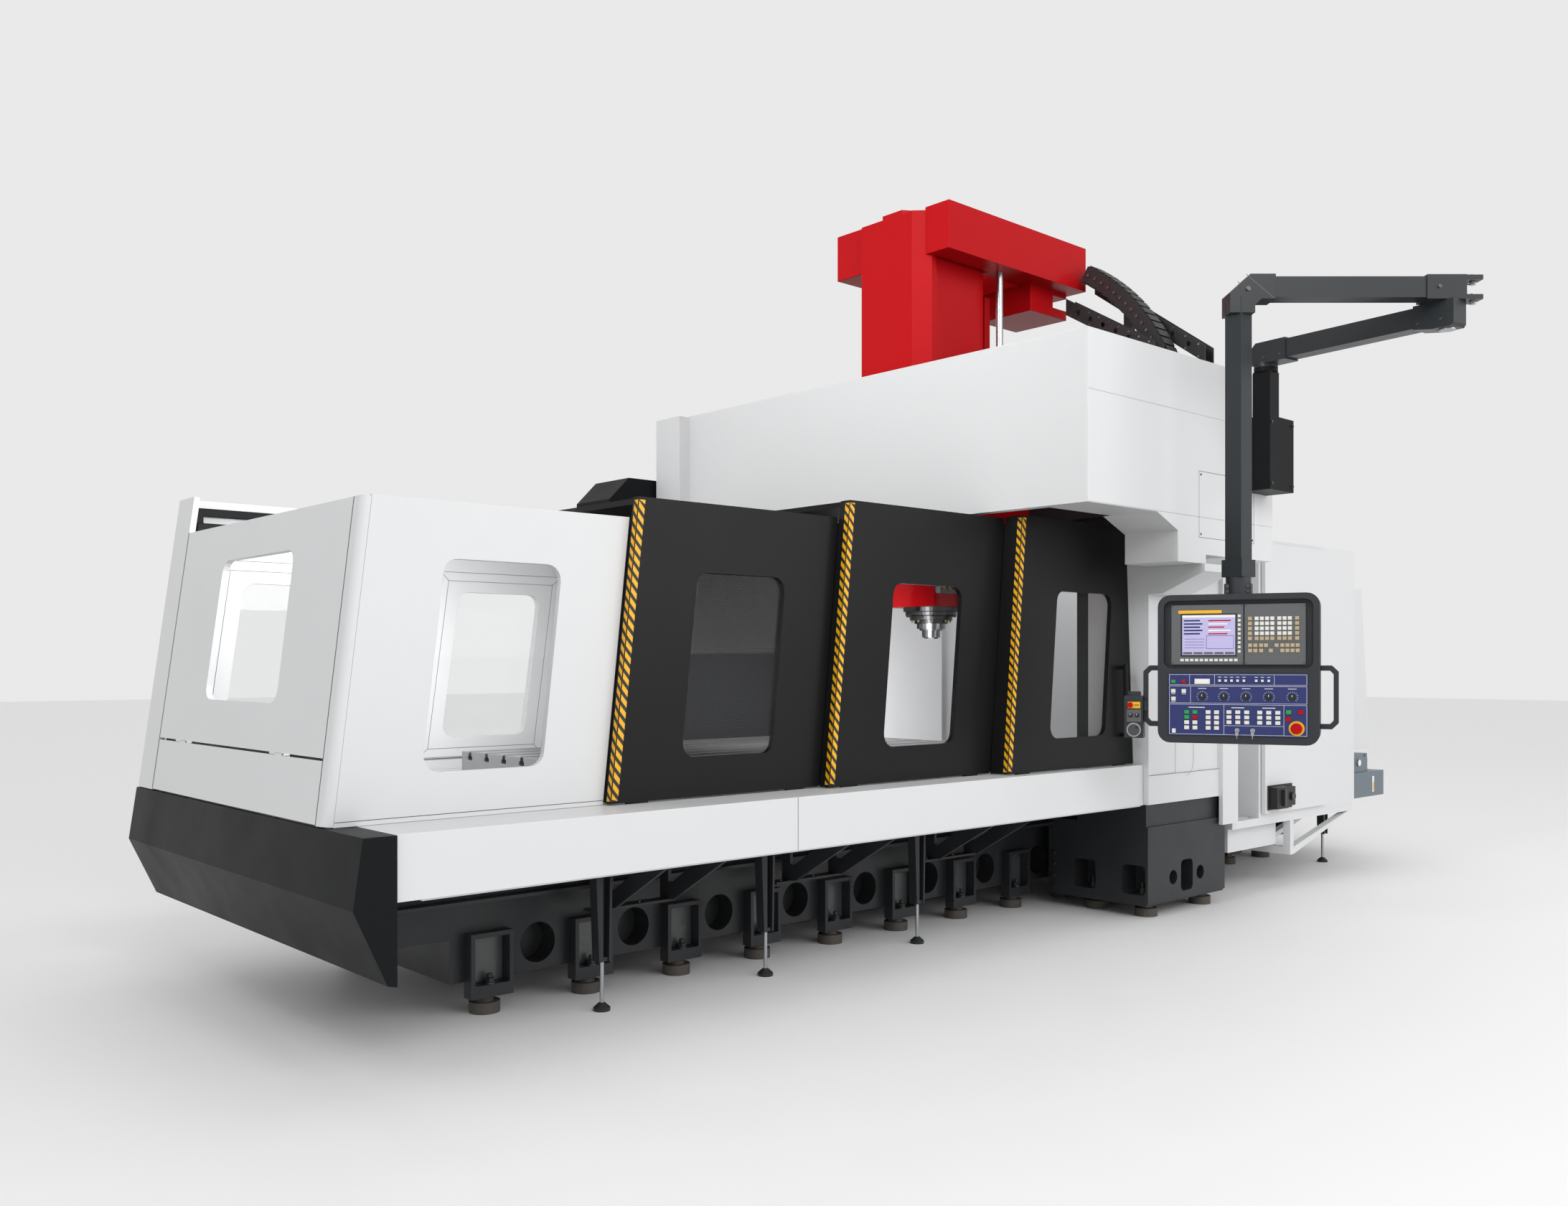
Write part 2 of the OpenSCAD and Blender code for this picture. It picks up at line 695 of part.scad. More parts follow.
// Telescopic way cover: a folded sheet over the guideways, with a wiper plate inside one end
module way_cover(x0, x1, layer, plate_x, plate_z0, plate_z1) {
    block(plate_x, plate_x + cover_plate, -600, 600, plate_z0, plate_z1);
    top = cover_top - layer * (cover_t + run_gap);
    half = cover_half_w - layer * (cover_t + run_gap);
    along(x0, x1) polygon([[-half, bed_top + 20], [-half, top - 60], [-half + 90, top], [half - 90, top],
        [half, top - 60], [half, bed_top + 20], [half - cover_t, bed_top + 20], [half - cover_t, top - 65],
        [half - 93, top - cover_t], [-half + 93, top - cover_t], [-half + cover_t, top - 65], [-half + cover_t, bed_top + 20]]);
}

module end_cover_front() {
    color(steel) way_cover(bed_x0 - 40, table_x0 - 50, 2, bed_x0 + 10, bed_top + guide_h + slip, cover_top - 2 * layer_step - cover_t);
}

module mid_cover_front() {
    color(steel) way_cover(bed_x0 - 30, table_x0 - 20, 1, table_x0 - 20 - cover_plate, bed_top + guide_h + slip, cover_top - layer_step - cover_t);
}

module table_cover_front() {
    color(steel) way_cover(bed_x0 - 10, table_x0 + 60, 0, table_x0 + 60 - cover_plate, bed_top + guide_h + slip, table_z0);
}

module table_cover_rear() {
    color(steel) way_cover(table_x1 - 60, table_x1 + rear_l + 10, 0, table_x1 - 60, bed_top + guide_h + slip, table_z0);
}

module mid_cover_rear() {
    color(steel) way_cover(table_x1 + rear_l - 50, table_x1 + 2 * rear_l, 1, table_x1 + rear_l - 50, bed_top + guide_h + slip, cover_top - layer_step - cover_t);
}

module end_cover_rear() {
    color(steel) way_cover(table_x1 + 2 * rear_l - 40, bed_x1 - 20, 2, bed_x1 - 80, bed_top + guide_h + slip, cover_top - 2 * layer_step - cover_t);
}

// Table with clamping slots and the bearing blocks on the guideways
module table() {
    color(steel) difference() {
        union() {
            block(table_x0, table_x1, -table_w / 2, table_w / 2, table_z0, table_top);
            at_both_sides() block(table_x0 + 200, table_x1 - 200, -guide_y - guide_w / 2 - 40, -guide_y + guide_w / 2 + 40,
                bed_top + guide_h + slip, table_z0);
        }
        for (i = [0 : slot_n - 1]) translate([table_x0 - 1, (i - (slot_n - 1) / 2) * table_w / slot_n, 0]) {
            translate([0, -14, table_top - 50]) cube([table_l + 2, 28, 51]);
            translate([0, -25, table_top - 50]) cube([table_l + 2, 50, 22]);
        }
    }
}

// Saddle plate in front of the crossbeam, with the ram guides and the post of the balance cylinder
module saddle() {
    color(red) difference() {
        union() {
            block(saddle_x0, saddle_x1, spindle_y - 420, spindle_y + 420, beam_z0 + 20, saddle_top);
            block(rod_x + 90, rod_x + 150, rod_y + 205, rod_y + 265, saddle_top - 1, top_box_z0 - 110);
        }
        translate([rod_x, rod_y, beam_z0]) cylinder(d = rod_d + 12, h = beam_h + 100);
    }
    color(steel) for (y = [spindle_y - 200, spindle_y + 150])
        block(ram_x1 + slip, saddle_x0, y, y + 50, beam_z0 + 20, saddle_top);
}

// Tray and channels that guide the hose chain, carried behind the saddle
module chain_trays() {
    tray_end = channel_xs[1] + 60;
    stay = 60;
    seat = chain_r - chain_t / 2 - 10 - slip;
    seat_x = channel_xs[0] + channel_w - 5;
    high = [for (rise = channel_rise) top_box_z0 + rise];
    color(black) {
        block(saddle_x0, tray_end, tray_y[0], tray_y[1], saddle_top, saddle_top + 20);
        block(channel_xs[0] + 40, channel_xs[0] + 40 + stay, tray_y[0], tray_y[0] + stay, saddle_top + 19, high[0] - 220);
        block(channel_xs[1], tray_end, tray_y[0], tray_y[0] + stay, saddle_top + 19, high[1] - 260);
        channel(channel_xs[0], [channel_y[0], high[0]], [channel_y[1], channel_low]);
        channel(channel_xs[1], [channel_y[0], high[1]], [channel_y[2], channel_low]);
        translate([0, chain_y, chain_z]) rotate([chain_a1, 0, 0]) {
            block(seat_x, chain_x0 + chain_w, seat - 30, seat, -link_l / 2, link_l / 2);
            block(seat_x, chain_x0 - slip, seat - 30, chain_r + 20, -link_l / 2, link_l / 2);
        }
    }
}

// Trough between two points, drawn in Y and Z, with a row of holes in its sides
module channel(x, a, b) {
    deep = 120;
    wall = 8;
    holes = 6;
    difference() {
        along(x, x + channel_w) polygon([a, b, b + [0, -deep], a + [0, -deep]]);
        along(x + wall, x + channel_w - wall) polygon([a + [1, 2], b + [-1, 2], b + [-1, wall - deep], a + [1, wall - deep]]);
        for (i = [1 : holes]) translate([x - 1, 0, 0] + concat([0], a + (b - a) * i / (holes + 1)) - [0, 0, deep / 2])
            rotate([0, 90, 0]) cylinder(d = 34, h = channel_w + 2);
    }
}

// Hose chain of boxed links that bends down from the head to its tray
module energy_chain() {
    color(black) for (i = [0 : chain_links - 1]) {
        a = chain_a0 + i * (chain_a1 - chain_a0) / (chain_links - 1);
        translate([0, chain_y, chain_z]) rotate([a, 0, 0]) translate([chain_x0, chain_r - chain_t / 2, -link_l / 2]) {
            cube([chain_w, chain_t, link_l]);
            translate([10, -10, 10]) cube([chain_w - 20, chain_t + 20, link_l - 25]);
        }
    }
}

// Rod of the balance cylinder that runs down into the saddle
module balance_rods() {
    color(steel) {
        translate([rod_x, rod_y, saddle_top - 370]) cylinder(d = rod_d, h = top_box_z0 - saddle_top + 370);
    }
}

// Tower round the ram: a chamfered front cover whose sides end in a slanted edge, with a cap on top
module ram_tower() {
    low = head_z0 + 200;
    seam = 3600;
    color(red) {
        difference() {
            translate([0, 0, low]) linear_extrude(tower_top - low) tower_plan(0);
            for (side = [-1, 1]) translate([0, spindle_y + side * tower_w / 2, 0])
                across(-tower_recess, tower_recess) polygon([[tower_x0 + tower_chamfer + 5, tower_top + 1],
                    [tower_x0 + tower_chamfer + 130, seam], [tower_x0 + tower_chamfer + 130, low - 1],
                    [ram_x1 + 1, low - 1], [ram_x1 + 1, tower_top + 1]]);
            translate([0, 0, seam]) difference() {
                linear_extrude(5) tower_plan(1);
                translate([0, 0, -1]) linear_extrude(7) tower_plan(-4);
            }
        }
        translate([tower_x0 + 40, spindle_y - 60, tower_top]) linear_extrude(45)
            polygon([[0, 0], [0, 180], [60, 230], [230, 230], [230, -40], [60, -40]]);
    }
}

// Plan of the tower, grown outward by a margin
module tower_plan(grow) {
    y0 = spindle_y - tower_w / 2 - grow;
    y1 = spindle_y + tower_w / 2 + grow;
    polygon([[tower_x0 - grow, y1], [tower_x0 - grow, y0 + tower_chamfer], [tower_x0 + tower_chamfer, y0],
        [ram_x1, y0], [ram_x1, y1]]);
}

// Box round the top of the tower, open in its middle over the saddle, with a lower block at its rear
module ram_top_box() {
    color(red) difference() {
        union() {
            block(box_x0, box_x1, box_y[0], box_y[1], top_box_z0, box_top);
            block(box_x1 - 470, box_x1 - 35, -530, -60, top_box_z0 - lower_block_h, top_box_z0 + 1);
        }
        translate([0, 0, top_box_z0 - 1]) linear_extrude(box_h + 2) tower_plan(slip);
        block(ram_x1 - 1, box_x1 - 500, box_opening_y[0], box_opening_y[1], top_box_z0 - 1, box_top + 1);
        block(box_x1 - 200, box_x1 - 34, -531, -330, top_box_z0 - 120, top_box_z0 - 30);
    }
}

module spindle_head() {
    color(red) difference() {
        block(spindle_x - 230, spindle_x + 230, spindle_y - 230, spindle_y + 230, head_z0, head_z0 + 200);
        translate([spindle_x, spindle_y, head_z0 - 1]) cylinder(d = 200 + slip * 2, h = 60);
    }
}

module spindle_nose() {
    color(steel) difference() {
        union() {
            translate([spindle_x, spindle_y, nose_z + 60]) cylinder(d = 200, h = head_z0 - nose_z - 60 + 50);
            translate([spindle_x, spindle_y, nose_z]) cylinder(d = 128, h = 60);
        }
        translate([spindle_x, spindle_y, nose_z - 1]) cylinder(d = 70, h = 100);
    }
}

// Near door with its window, side return and roof plate
module near_door(i, roof_end) {
    y = door_planes[i];
    return_d = y - (i == 0 ? wall_y : door_planes[i - 1]) - 6;
    x0 = bay_x[i + 1] + door_gap / 2;
    x1 = bay_x[i + 2] - door_gap / 2;
    near_sheet(y, door_t, wall_lean) difference() {
        polygon(slanted(x0, x1, sill_z + 8, door_tops[i]));
        window_outline(bay_x[i + 1] + window_inset);
        if (i == 2) translate([col_x0 - 15, -1]) square([600, far_top]);
    }
    near_sheet(y - door_t + 1, return_d - door_t + 1, wall_lean) polygon(slanted(x0, x0 + 20, sill_z + 8, door_tops[i]));
    for (x = [x0 + 100, x1 - 220]) block(x, x + 120, -y + 4, -y + door_t - 4, sill_z + slip, sill_z + 20);
    if (roof_end != 0) {
        top_y = -y + door_t + (door_tops[i] - sill_z) * sin(wall_lean);
        top_x = (door_tops[i] - sill_z) * slope;
        block(x0 + top_x + roof_inset, x1 + top_x, top_y - 5, roof_end, door_tops[i] - roof_drop - roof_t, door_tops[i] - roof_drop);
    }
}

module door_near_1() {
    color(black) near_door(0, rail_ys[0] + rail_size[0]);
}

module door_near_2() {
    color(black) near_door(1, rail_ys[1] + rail_size[0]);
}

module door_near_3() {
    grip = 480;
    color(black) {
        near_door(2, 0);
        translate([625, -door_planes[2], 1200]) rotate([-wall_lean, 0, 0]) {
            for (z = [20, grip - 20]) translate([0, 8, z]) rotate([90, 0, 0]) cylinder(d = 26, h = 50);
            translate([0, -42, 0]) cylinder(d = 28, h = grip);
        }
    }
}

// Fixed panels that close the far side behind the work space
module far_panels() {
    color(black) mirror([0, 1, 0]) {
        block(bay_x[2] + 3, col_x0 - 16, -wall_y, -wall_y + door_t, sill_z, panel_seam);
        block(bay_x[2] + 3, col_x0 - 16, -wall_y, -wall_y + door_t - 4, panel_seam, far_top);
    }
}

// Post on the side of the beam cover, with its swivel seat
module pendant_post() {
    color(black) {
        block(post_x - 60, post_x + 260, -hood_half_l - 190, -hood_half_l, post_z[0], post_z[1]);
        block(post_x - tube / 2, post_x + tube / 2, post_y - tube / 2, post_y + tube / 2, post_z[1], arm_z - 60);
        translate([post_x, post_y, arm_z - 60]) cylinder(d = 150, h = 30);
    }
}

module lower_arm() {
    color(grey) {
        translate([post_x, post_y, arm_z - 30 + slip]) cylinder(d = 150, h = 31);
        translate([post_x, post_y, 0]) rotate([0, 0, lower_arm_angle]) {
            block(150, arm_l - 100, -tube / 2, tube / 2, arm_z, arm_z + tube);
            across(-tube / 2 - 10, tube / 2 + 10) polygon([[-78, arm_z - 10], [190, arm_z - 10], [190, arm_z + tube + 9],
                [-30, arm_z + tube + 9], [-78, arm_z + tube - 40]]);
            across(-tube / 2 - 8, tube / 2 + 8) polygon([[arm_l - 170, arm_z - 8], [arm_l - 60, arm_z - 26],
                [arm_l + 60, arm_z - 26], [arm_l + 72, arm_z - 8], [arm_l + 72, arm_z + tube + 10 - slip],
                [arm_l - 170, arm_z + tube + 10 - slip]]);
            translate([arm_l, 0, arm_z + tube + 9]) cylinder(d = elbow_d, h = 31);
        }
    }
}

module upper_arm() {
    top = upper_arm_z + tube;
    fork_l = 175;
    color(grey) {
        translate([elbow_x, elbow_y, 0]) rotate([0, 0, upper_arm_angle]) {
            block(100, arm_l - 100, -tube / 2, tube / 2, upper_arm_z, top);
            difference() {
                block(-78, 150, -tube / 2 - 8, tube / 2 + 8, upper_arm_z - 10, top + 10);
                translate([0, 0, upper_arm_z - 11]) cylinder(d = elbow_d + 2 * slip, h = 45);
            }
            for (z = [upper_arm_z - 10, top - 18]) block(-fork_l, -77, -tube / 2, tube / 2, z, z + 28);
            across(-tube / 2 - 12, tube / 2 + 12) polygon([[arm_l - 190, upper_arm_z - 10], [arm_l - 190, top + 12],
                [arm_l - 45, top + 12], [arm_l + 72, top - 95], [arm_l + 72, upper_arm_z - 90],
                [arm_l - 72, upper_arm_z - 90], [arm_l - 72, upper_arm_z - 45], [arm_l - 110, upper_arm_z - 10]]);
        }
        translate([hang_x, hang_y, 0]) rotate([0, 0, hang_turn]) {
            block(-drop / 2, drop / 2, -drop / 2, drop / 2, pendant_z0 + pendant_h + 100, upper_arm_z);
            block(-drop / 2 - 14, drop / 2 + 14, -drop / 2 - 14, drop / 2 + 14, pendant_z0 + pendant_h + 100,
                pendant_z0 + pendant_h + 200);
        }
    }
}

// Pendant housing with a rim round its front and the neck it hangs from
module pendant() {
    rim = 34;
    color(grey) translate([hang_x, hang_y, pendant_z0]) rotate([0, 0, pendant_turn]) {
        difference() {
            face_plate(-pendant_d / 2, pendant_d / 2) polygon(rounded([[-pendant_w / 2, 0], [pendant_w / 2, 0],
                [pendant_w / 2, pendant_h], [-pendant_w / 2, pendant_h]], 70));
            face_plate(pendant_d / 2 - 45, pendant_d / 2 + 1) polygon(rounded([[-pendant_w / 2 + rim, panel_h + 12],
                [pendant_w / 2 - rim, panel_h + 12], [pendant_w / 2 - rim, pendant_h - rim],
                [-pendant_w / 2 + rim, pendant_h - rim]], 45));
        }
        face_plate(pendant_d / 2 - 46, pendant_d / 2 - 28) translate([-pendant_w / 2 + 75, panel_h + 35])
            square([pendant_w - 150, pendant_h - panel_h - 95]);
        face_plate(pendant_d / 2 - 1, pendant_d / 2 + 7) translate([-pendant_w / 2 + 60, 45])
            square([pendant_w - 120, panel_h - 60]);
        translate([0, 0, pendant_h - 1]) cylinder(d = 140, h = 101 - slip);
        translate([-50, -75, pendant_h - 1]) cube([100, 150, 62]);
    }
}

// Plate drawn in the plane of the pendant's front, from its left and bottom
module face_plate(d0, d1) {
    translate([d0, 0, 0]) rotate([90, 0, 90]) linear_extrude(d1 - d0) children();
}

// Grips on both sides of the pendant and the hand unit that hangs beside the left one
module pendant_grips() {
    color(black) translate([hang_x, hang_y, pendant_z0]) rotate([0, 0, pendant_turn]) {
        for (side = [0, 1]) mirror([0, side, 0]) translate([0, pendant_w / 2 + slip, 90]) face_plate(-14, 14)
            polygon([[0, 0], [60, 0], [95, 35], [95, 325], [60, 360], [0, 360], [0, 330], [50, 330], [68, 310],
                [68, 50], [50, 30], [0, 30]]);
        translate([-14, -pendant_w / 2 - 200, 20]) {
            cube([70, 110, 250]);
            translate([10, 20, 249]) cube([50, 70, 26]);
            translate([20, 109, 160]) cube([30, 20, 60]);
        }
    }
}

module control_cabinet() {
    color(white) difference() {
        block(cab_x0, cab_x1, -cab_y, -wall_y - slip, cab_z0, cab_z1);
        block(cab_x0 + 60, cab_front_x1, -cab_y - 1, -cab_y + 240, cab_z0 + 60, cab_z1 - 60);
    }
    color(white) for (z = cab_hinge_zs) {
        translate([cab_hinge_x, -cab_y - 20, z + 60 + slip]) cylinder(r = cab_hinge_r, h = 60);
        block(cab_hinge_x - 4, cab_hinge_x + 4, -cab_y - 20, -cab_y, z + 60 + slip, z + 120);
    }
}

module cabinet_door() {
    color(white) {
        block(cab_x0 + 30, cab_hinge_x - 8, -cab_y - 35, -cab_y - 5, cab_z0 + 30, cab_z1 - 30);
        for (z = cab_hinge_zs) {
            translate([cab_hinge_x, -cab_y - 20, z]) cylinder(r = cab_hinge_r, h = 60);
            block(cab_hinge_x - 8, cab_hinge_x, -cab_y - 24, -cab_y - 16, z, z + 60);
        }
    }
}

// Frame under the cabinet with its brace, and the closed unit that it carries
module cabinet_frame() {
    t = frame_tube;
    x0 = col_x1 + rear_strip_w + 2;
    x1 = cab_x1 - 40;
    post_frame_x = cab_x0 + 480;
    back = -wall_y - 30;
    color(white) {
        difference() {
            block(x0, x1, -cab_y, back, frame_z, cab_z0 - slip);
            block(x0 + t, x1 - t, -cab_y + t, back - t, frame_z - 1, cab_z0);
        }
        for (y = [-cab_y, back - t]) {
            block(post_frame_x, post_frame_x + t, y, y + t, brace_foot_z, frame_z + 1);
            across(y, y + t) polygon([[post_frame_x + t - 1, brace_foot_z], [post_frame_x + t - 1, brace_foot_z + t],
                [x1 - 70, frame_z + 1], [x1 - 1, frame_z + 1]]);
        }
        for (z = [brace_foot_z, frame_z - 1]) block(post_frame_x, post_frame_x + t, -cab_y, back, z, z + t);
    }
    color(black) block(x0 + 78, post_frame_x - 70, -cab_y + 80, back - 80, brace_foot_z + 80, cab_z0 - slip);
}

// Tank on the rear side of the cabinet with its pump and filter
module lube_unit() {
    x = cab_x1 + slip;
    y = -cab_y + 20;
    color(grey) {
        block(x, x + tank_l, y, y + 280, tank_z[0], tank_z[1]);
        block(x, x + pump_end, y + 20, y + 200, tank_z[1] - 1, pump_z);
        translate([x + pump_end + 100, y + 110, tank_z[1] - 1]) cylinder(d = 90, h = 110);
    }
}

bed();
levelling_pads();
column_near();
column_far();
column_cover_near();
column_cover_far();
crossbeam();
beam_cover();
apron_near();
apron_far();
side_wall_near();
side_wall_far();
front_wall();
access_flap();
front_chute();
rear_walls();
rear_chute();
roof_rails();
apron_brackets();
enclosure_legs();
magazine_housing();
end_cover_front();
end_cover_rear();
table();
table_cover_front();
table_cover_rear();
mid_cover_front();
mid_cover_rear();
saddle();
chain_trays();
energy_chain();
balance_rods();
ram_tower();
ram_top_box();
spindle_head();
spindle_nose();
door_near_1();
door_near_2();
door_near_3();
far_panels();
pendant_post();
lower_arm();
upper_arm();
pendant();
pendant_grips();
control_cabinet();
cabinet_door();
cabinet_frame();
lube_unit();
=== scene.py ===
import json
import math

import bmesh
import bpy
from mathutils import Matrix, Vector


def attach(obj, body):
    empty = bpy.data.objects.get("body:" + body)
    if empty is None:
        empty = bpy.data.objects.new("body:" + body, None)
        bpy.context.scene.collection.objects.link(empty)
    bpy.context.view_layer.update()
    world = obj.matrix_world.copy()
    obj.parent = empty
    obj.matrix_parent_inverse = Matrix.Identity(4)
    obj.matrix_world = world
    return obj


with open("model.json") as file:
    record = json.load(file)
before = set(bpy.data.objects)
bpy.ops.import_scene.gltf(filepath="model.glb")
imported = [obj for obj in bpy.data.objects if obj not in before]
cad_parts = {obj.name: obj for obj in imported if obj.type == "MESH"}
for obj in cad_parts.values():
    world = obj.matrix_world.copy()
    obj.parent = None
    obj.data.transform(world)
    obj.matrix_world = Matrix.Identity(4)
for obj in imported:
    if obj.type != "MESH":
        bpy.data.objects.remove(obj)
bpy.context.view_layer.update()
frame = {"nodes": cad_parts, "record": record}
nodes = frame["nodes"]


# Materials made of nodes

def surface(name, colour, rough, metal=0.0, grain=0.0, grain_scale=60.0, stain=0.0, spread=0.05, coat=0.0,
            stretch=(1.0, 1.0, 1.0), gloss=0.5):
    """A surface with fine grain, patches of other roughness and a faint stain, all from noise."""
    mat = bpy.data.materials.new(name)
    mat.use_nodes = True
    tree = mat.node_tree
    shader = tree.nodes["Principled BSDF"]
    shader.inputs["Metallic"].default_value = metal
    shader.inputs["Specular IOR Level"].default_value = gloss
    shader.inputs["Coat Weight"].default_value = coat
    shader.inputs["Coat Roughness"].default_value = 0.08
    place = tree.nodes.new("ShaderNodeTexCoord")
    scale = tree.nodes.new("ShaderNodeMapping")
    scale.inputs["Scale"].default_value = stretch
    tree.links.new(place.outputs["Object"], scale.inputs["Vector"])

    def noise(size, detail):
        node = tree.nodes.new("ShaderNodeTexNoise")
        node.inputs["Scale"].default_value = size
        node.inputs["Detail"].default_value = detail
        tree.links.new(scale.outputs["Vector"], node.inputs["Vector"])
        return node.outputs["Fac"]

    def span(value, low, high):
        node = tree.nodes.new("ShaderNodeMapRange")
        node.inputs["From Min"].default_value = 0.3
        node.inputs["From Max"].default_value = 0.7
        node.inputs["To Min"].default_value = low
        node.inputs["To Max"].default_value = high
        tree.links.new(value, node.inputs["Value"])
        return node.outputs["Result"]

    patches = noise(2.5, 4.0)
    tree.links.new(span(patches, max(0.02, rough - spread), min(1.0, rough + spread)), shader.inputs["Roughness"])
    tint = tree.nodes.new("ShaderNodeMixRGB")
    tint.inputs["Color1"].default_value = (*colour, 1)
    tint.inputs["Color2"].default_value = (*(c * 0.82 for c in colour), 1)
    tree.links.new(span(noise(6.0, 6.0), 0.0, stain), tint.inputs["Fac"])
    tree.links.new(tint.outputs["Color"], shader.inputs["Base Color"])
    if grain:
        bump = tree.nodes.new("ShaderNodeBump")
        bump.inputs["Strength"].default_value = grain
        bump.inputs["Distance"].default_value = 0.002
        tree.links.new(noise(grain_scale, 3.0), bump.inputs["Height"])
        tree.links.new(bump.outputs["Normal"], shader.inputs["Normal"])
    return mat


WHITE = surface("white paint", (0.66, 0.665, 0.672), 0.38, grain=0.05, grain_scale=220, stain=0.05, gloss=0.35)
CASTING = surface("dark casting paint", (0.024, 0.0255, 0.028), 0.36, grain=0.35, grain_scale=45, stain=0.6, spread=0.1,
                  gloss=0.32)
DARK = surface("dark sheet paint", (0.0085, 0.009, 0.010), 0.42, grain=0.05, grain_scale=250, stain=0.3, gloss=0.08)
DOOR = surface("door paint", (0.0095, 0.0097, 0.0104), 0.34, grain=0.12, grain_scale=420, stain=0.1, spread=0.02, gloss=0.15)
RED = surface("red paint", (0.46, 0.003, 0.006), 0.32, grain=0.04, grain_scale=180, stain=0.1, spread=0.02, gloss=0.1)
COVER = surface("cover steel", (0.42, 0.43, 0.44), 0.36, 1.0, grain=0.1, grain_scale=60, stain=0.4,
                stretch=(1, 12, 1))
TABLE = surface("ground table", (0.40, 0.40, 0.41), 0.33, 1.0, grain=0.05, grain_scale=90, stain=0.4,
                stretch=(0.2, 6, 1))
BRIGHT = surface("bright steel", (0.42, 0.43, 0.45), 0.26, 1.0, stain=0.1)
BLACK = surface("black plastic", (0.012, 0.012, 0.013), 0.48, grain=0.1, grain_scale=300, stain=0.1)
PAD = surface("pad iron", (0.09, 0.08, 0.07), 0.7, 0.3, grain=0.5, grain_scale=120, stain=0.8)
ARM = surface("arm paint", (0.020, 0.024, 0.027), 0.34, grain=0.05, grain_scale=250, stain=0.2, gloss=0.35)
SHELL = surface("pendant shell", (0.012, 0.016, 0.021), 0.46, grain=0.25, grain_scale=700, stain=0.1)
UNIT = surface("unit paint", (0.13, 0.16, 0.19), 0.4, grain=0.08, grain_scale=200, stain=0.2)
YELLOW = surface("warning yellow", (0.82, 0.42, 0.004), 0.42, stain=0.1)
BLUE = surface("panel blue", (0.012, 0.022, 0.13), 0.35, grain=0.05, grain_scale=300, stain=0.1)
PRINT = surface("white print", (0.80, 0.80, 0.80), 0.5, stain=0.1)
KEY = surface("white keys", (0.72, 0.71, 0.66), 0.45, stain=0.2)
BEIGE = surface("beige keys", (0.45, 0.36, 0.22), 0.45, stain=0.2)
GREEN = surface("green buttons", (0.01, 0.30, 0.06), 0.35, stain=0.1)
GREY = surface("grey shell", (0.10, 0.105, 0.11), 0.45, grain=0.1, grain_scale=300, stain=0.1)
BRASS = surface("brass", (0.72, 0.50, 0.20), 0.28, 1.0, stain=0.2)
# Rough cast face for the backs of the pockets. The bump and gloss are the rough surface. The base colour, lighter than
# the casting paint, is a painted highlight.
ROUGH_CAST_AND_HIGHLIGHT = surface("rough cast face, painted highlight", (0.055, 0.058, 0.060), 0.28, grain=1.0, grain_scale=26, stain=0.8, spread=0.12,
                gloss=0.7)
STEEL = surface("dark steel", (0.10, 0.10, 0.105), 0.35, 0.9, stain=0.3)
LINE = surface("sheet joint", (0.10, 0.10, 0.105), 0.6)
LILAC = surface("screen", (0.50, 0.46, 0.72), 0.2, stain=0.05)



def clear_sheet():
    """Clear window plastic: mostly see-through with a faint gloss."""
    mat = bpy.data.materials.new("clear pane")
    mat.use_nodes = True
    tree = mat.node_tree
    tree.nodes.clear()
    out = tree.nodes.new("ShaderNodeOutputMaterial")
    through = tree.nodes.new("ShaderNodeBsdfTransparent")
    through.inputs["Color"].default_value = (0.995, 0.997, 0.997, 1)
    gloss = tree.nodes.new("ShaderNodeBsdfGlossy")
    gloss.inputs["Roughness"].default_value = 0.02
    both = tree.nodes.new("ShaderNodeMixShader")
    both.inputs["Fac"].default_value = 0.008
    tree.links.new(through.outputs[0], both.inputs[1])
    tree.links.new(gloss.outputs[0], both.inputs[2])
    tree.links.new(both.outputs[0], out.inputs["Surface"])
    return mat


PANE = clear_sheet()

looks = {
    "painted_casting": CASTING, "pad_iron": PAD, "white_paint": WHITE, "dark_paint": DARK, "door_paint": DOOR,
    "red_paint": RED, "cover_steel": COVER, "table_iron": TABLE, "bright_steel": BRIGHT, "chain_plastic": BLACK,
    "arm_paint": ARM, "pendant_shell": SHELL, "unit_paint": UNIT,
}
slot_of = {part["node"]: part["material_slot"] for part in frame["record"]["subparts"]}
for name, node in nodes.items():
    node.data.materials.clear()
    node.data.materials.append(looks[slot_of[name]])
    weld = node.modifiers.new("weld", "WELD")
    weld.merge_threshold = 0.00005
    bevel = node.modifiers.new("bevel", "BEVEL")
    bevel.width = 0.004
    bevel.segments = 2
    bevel.limit_method = "ANGLE"
    bevel.angle_limit = math.radians(35)
    normals = node.modifiers.new("normals", "WEIGHTED_NORMAL")
    normals.weight = 100
    normals.keep_sharp = True


# Mesh tools for the small pieces

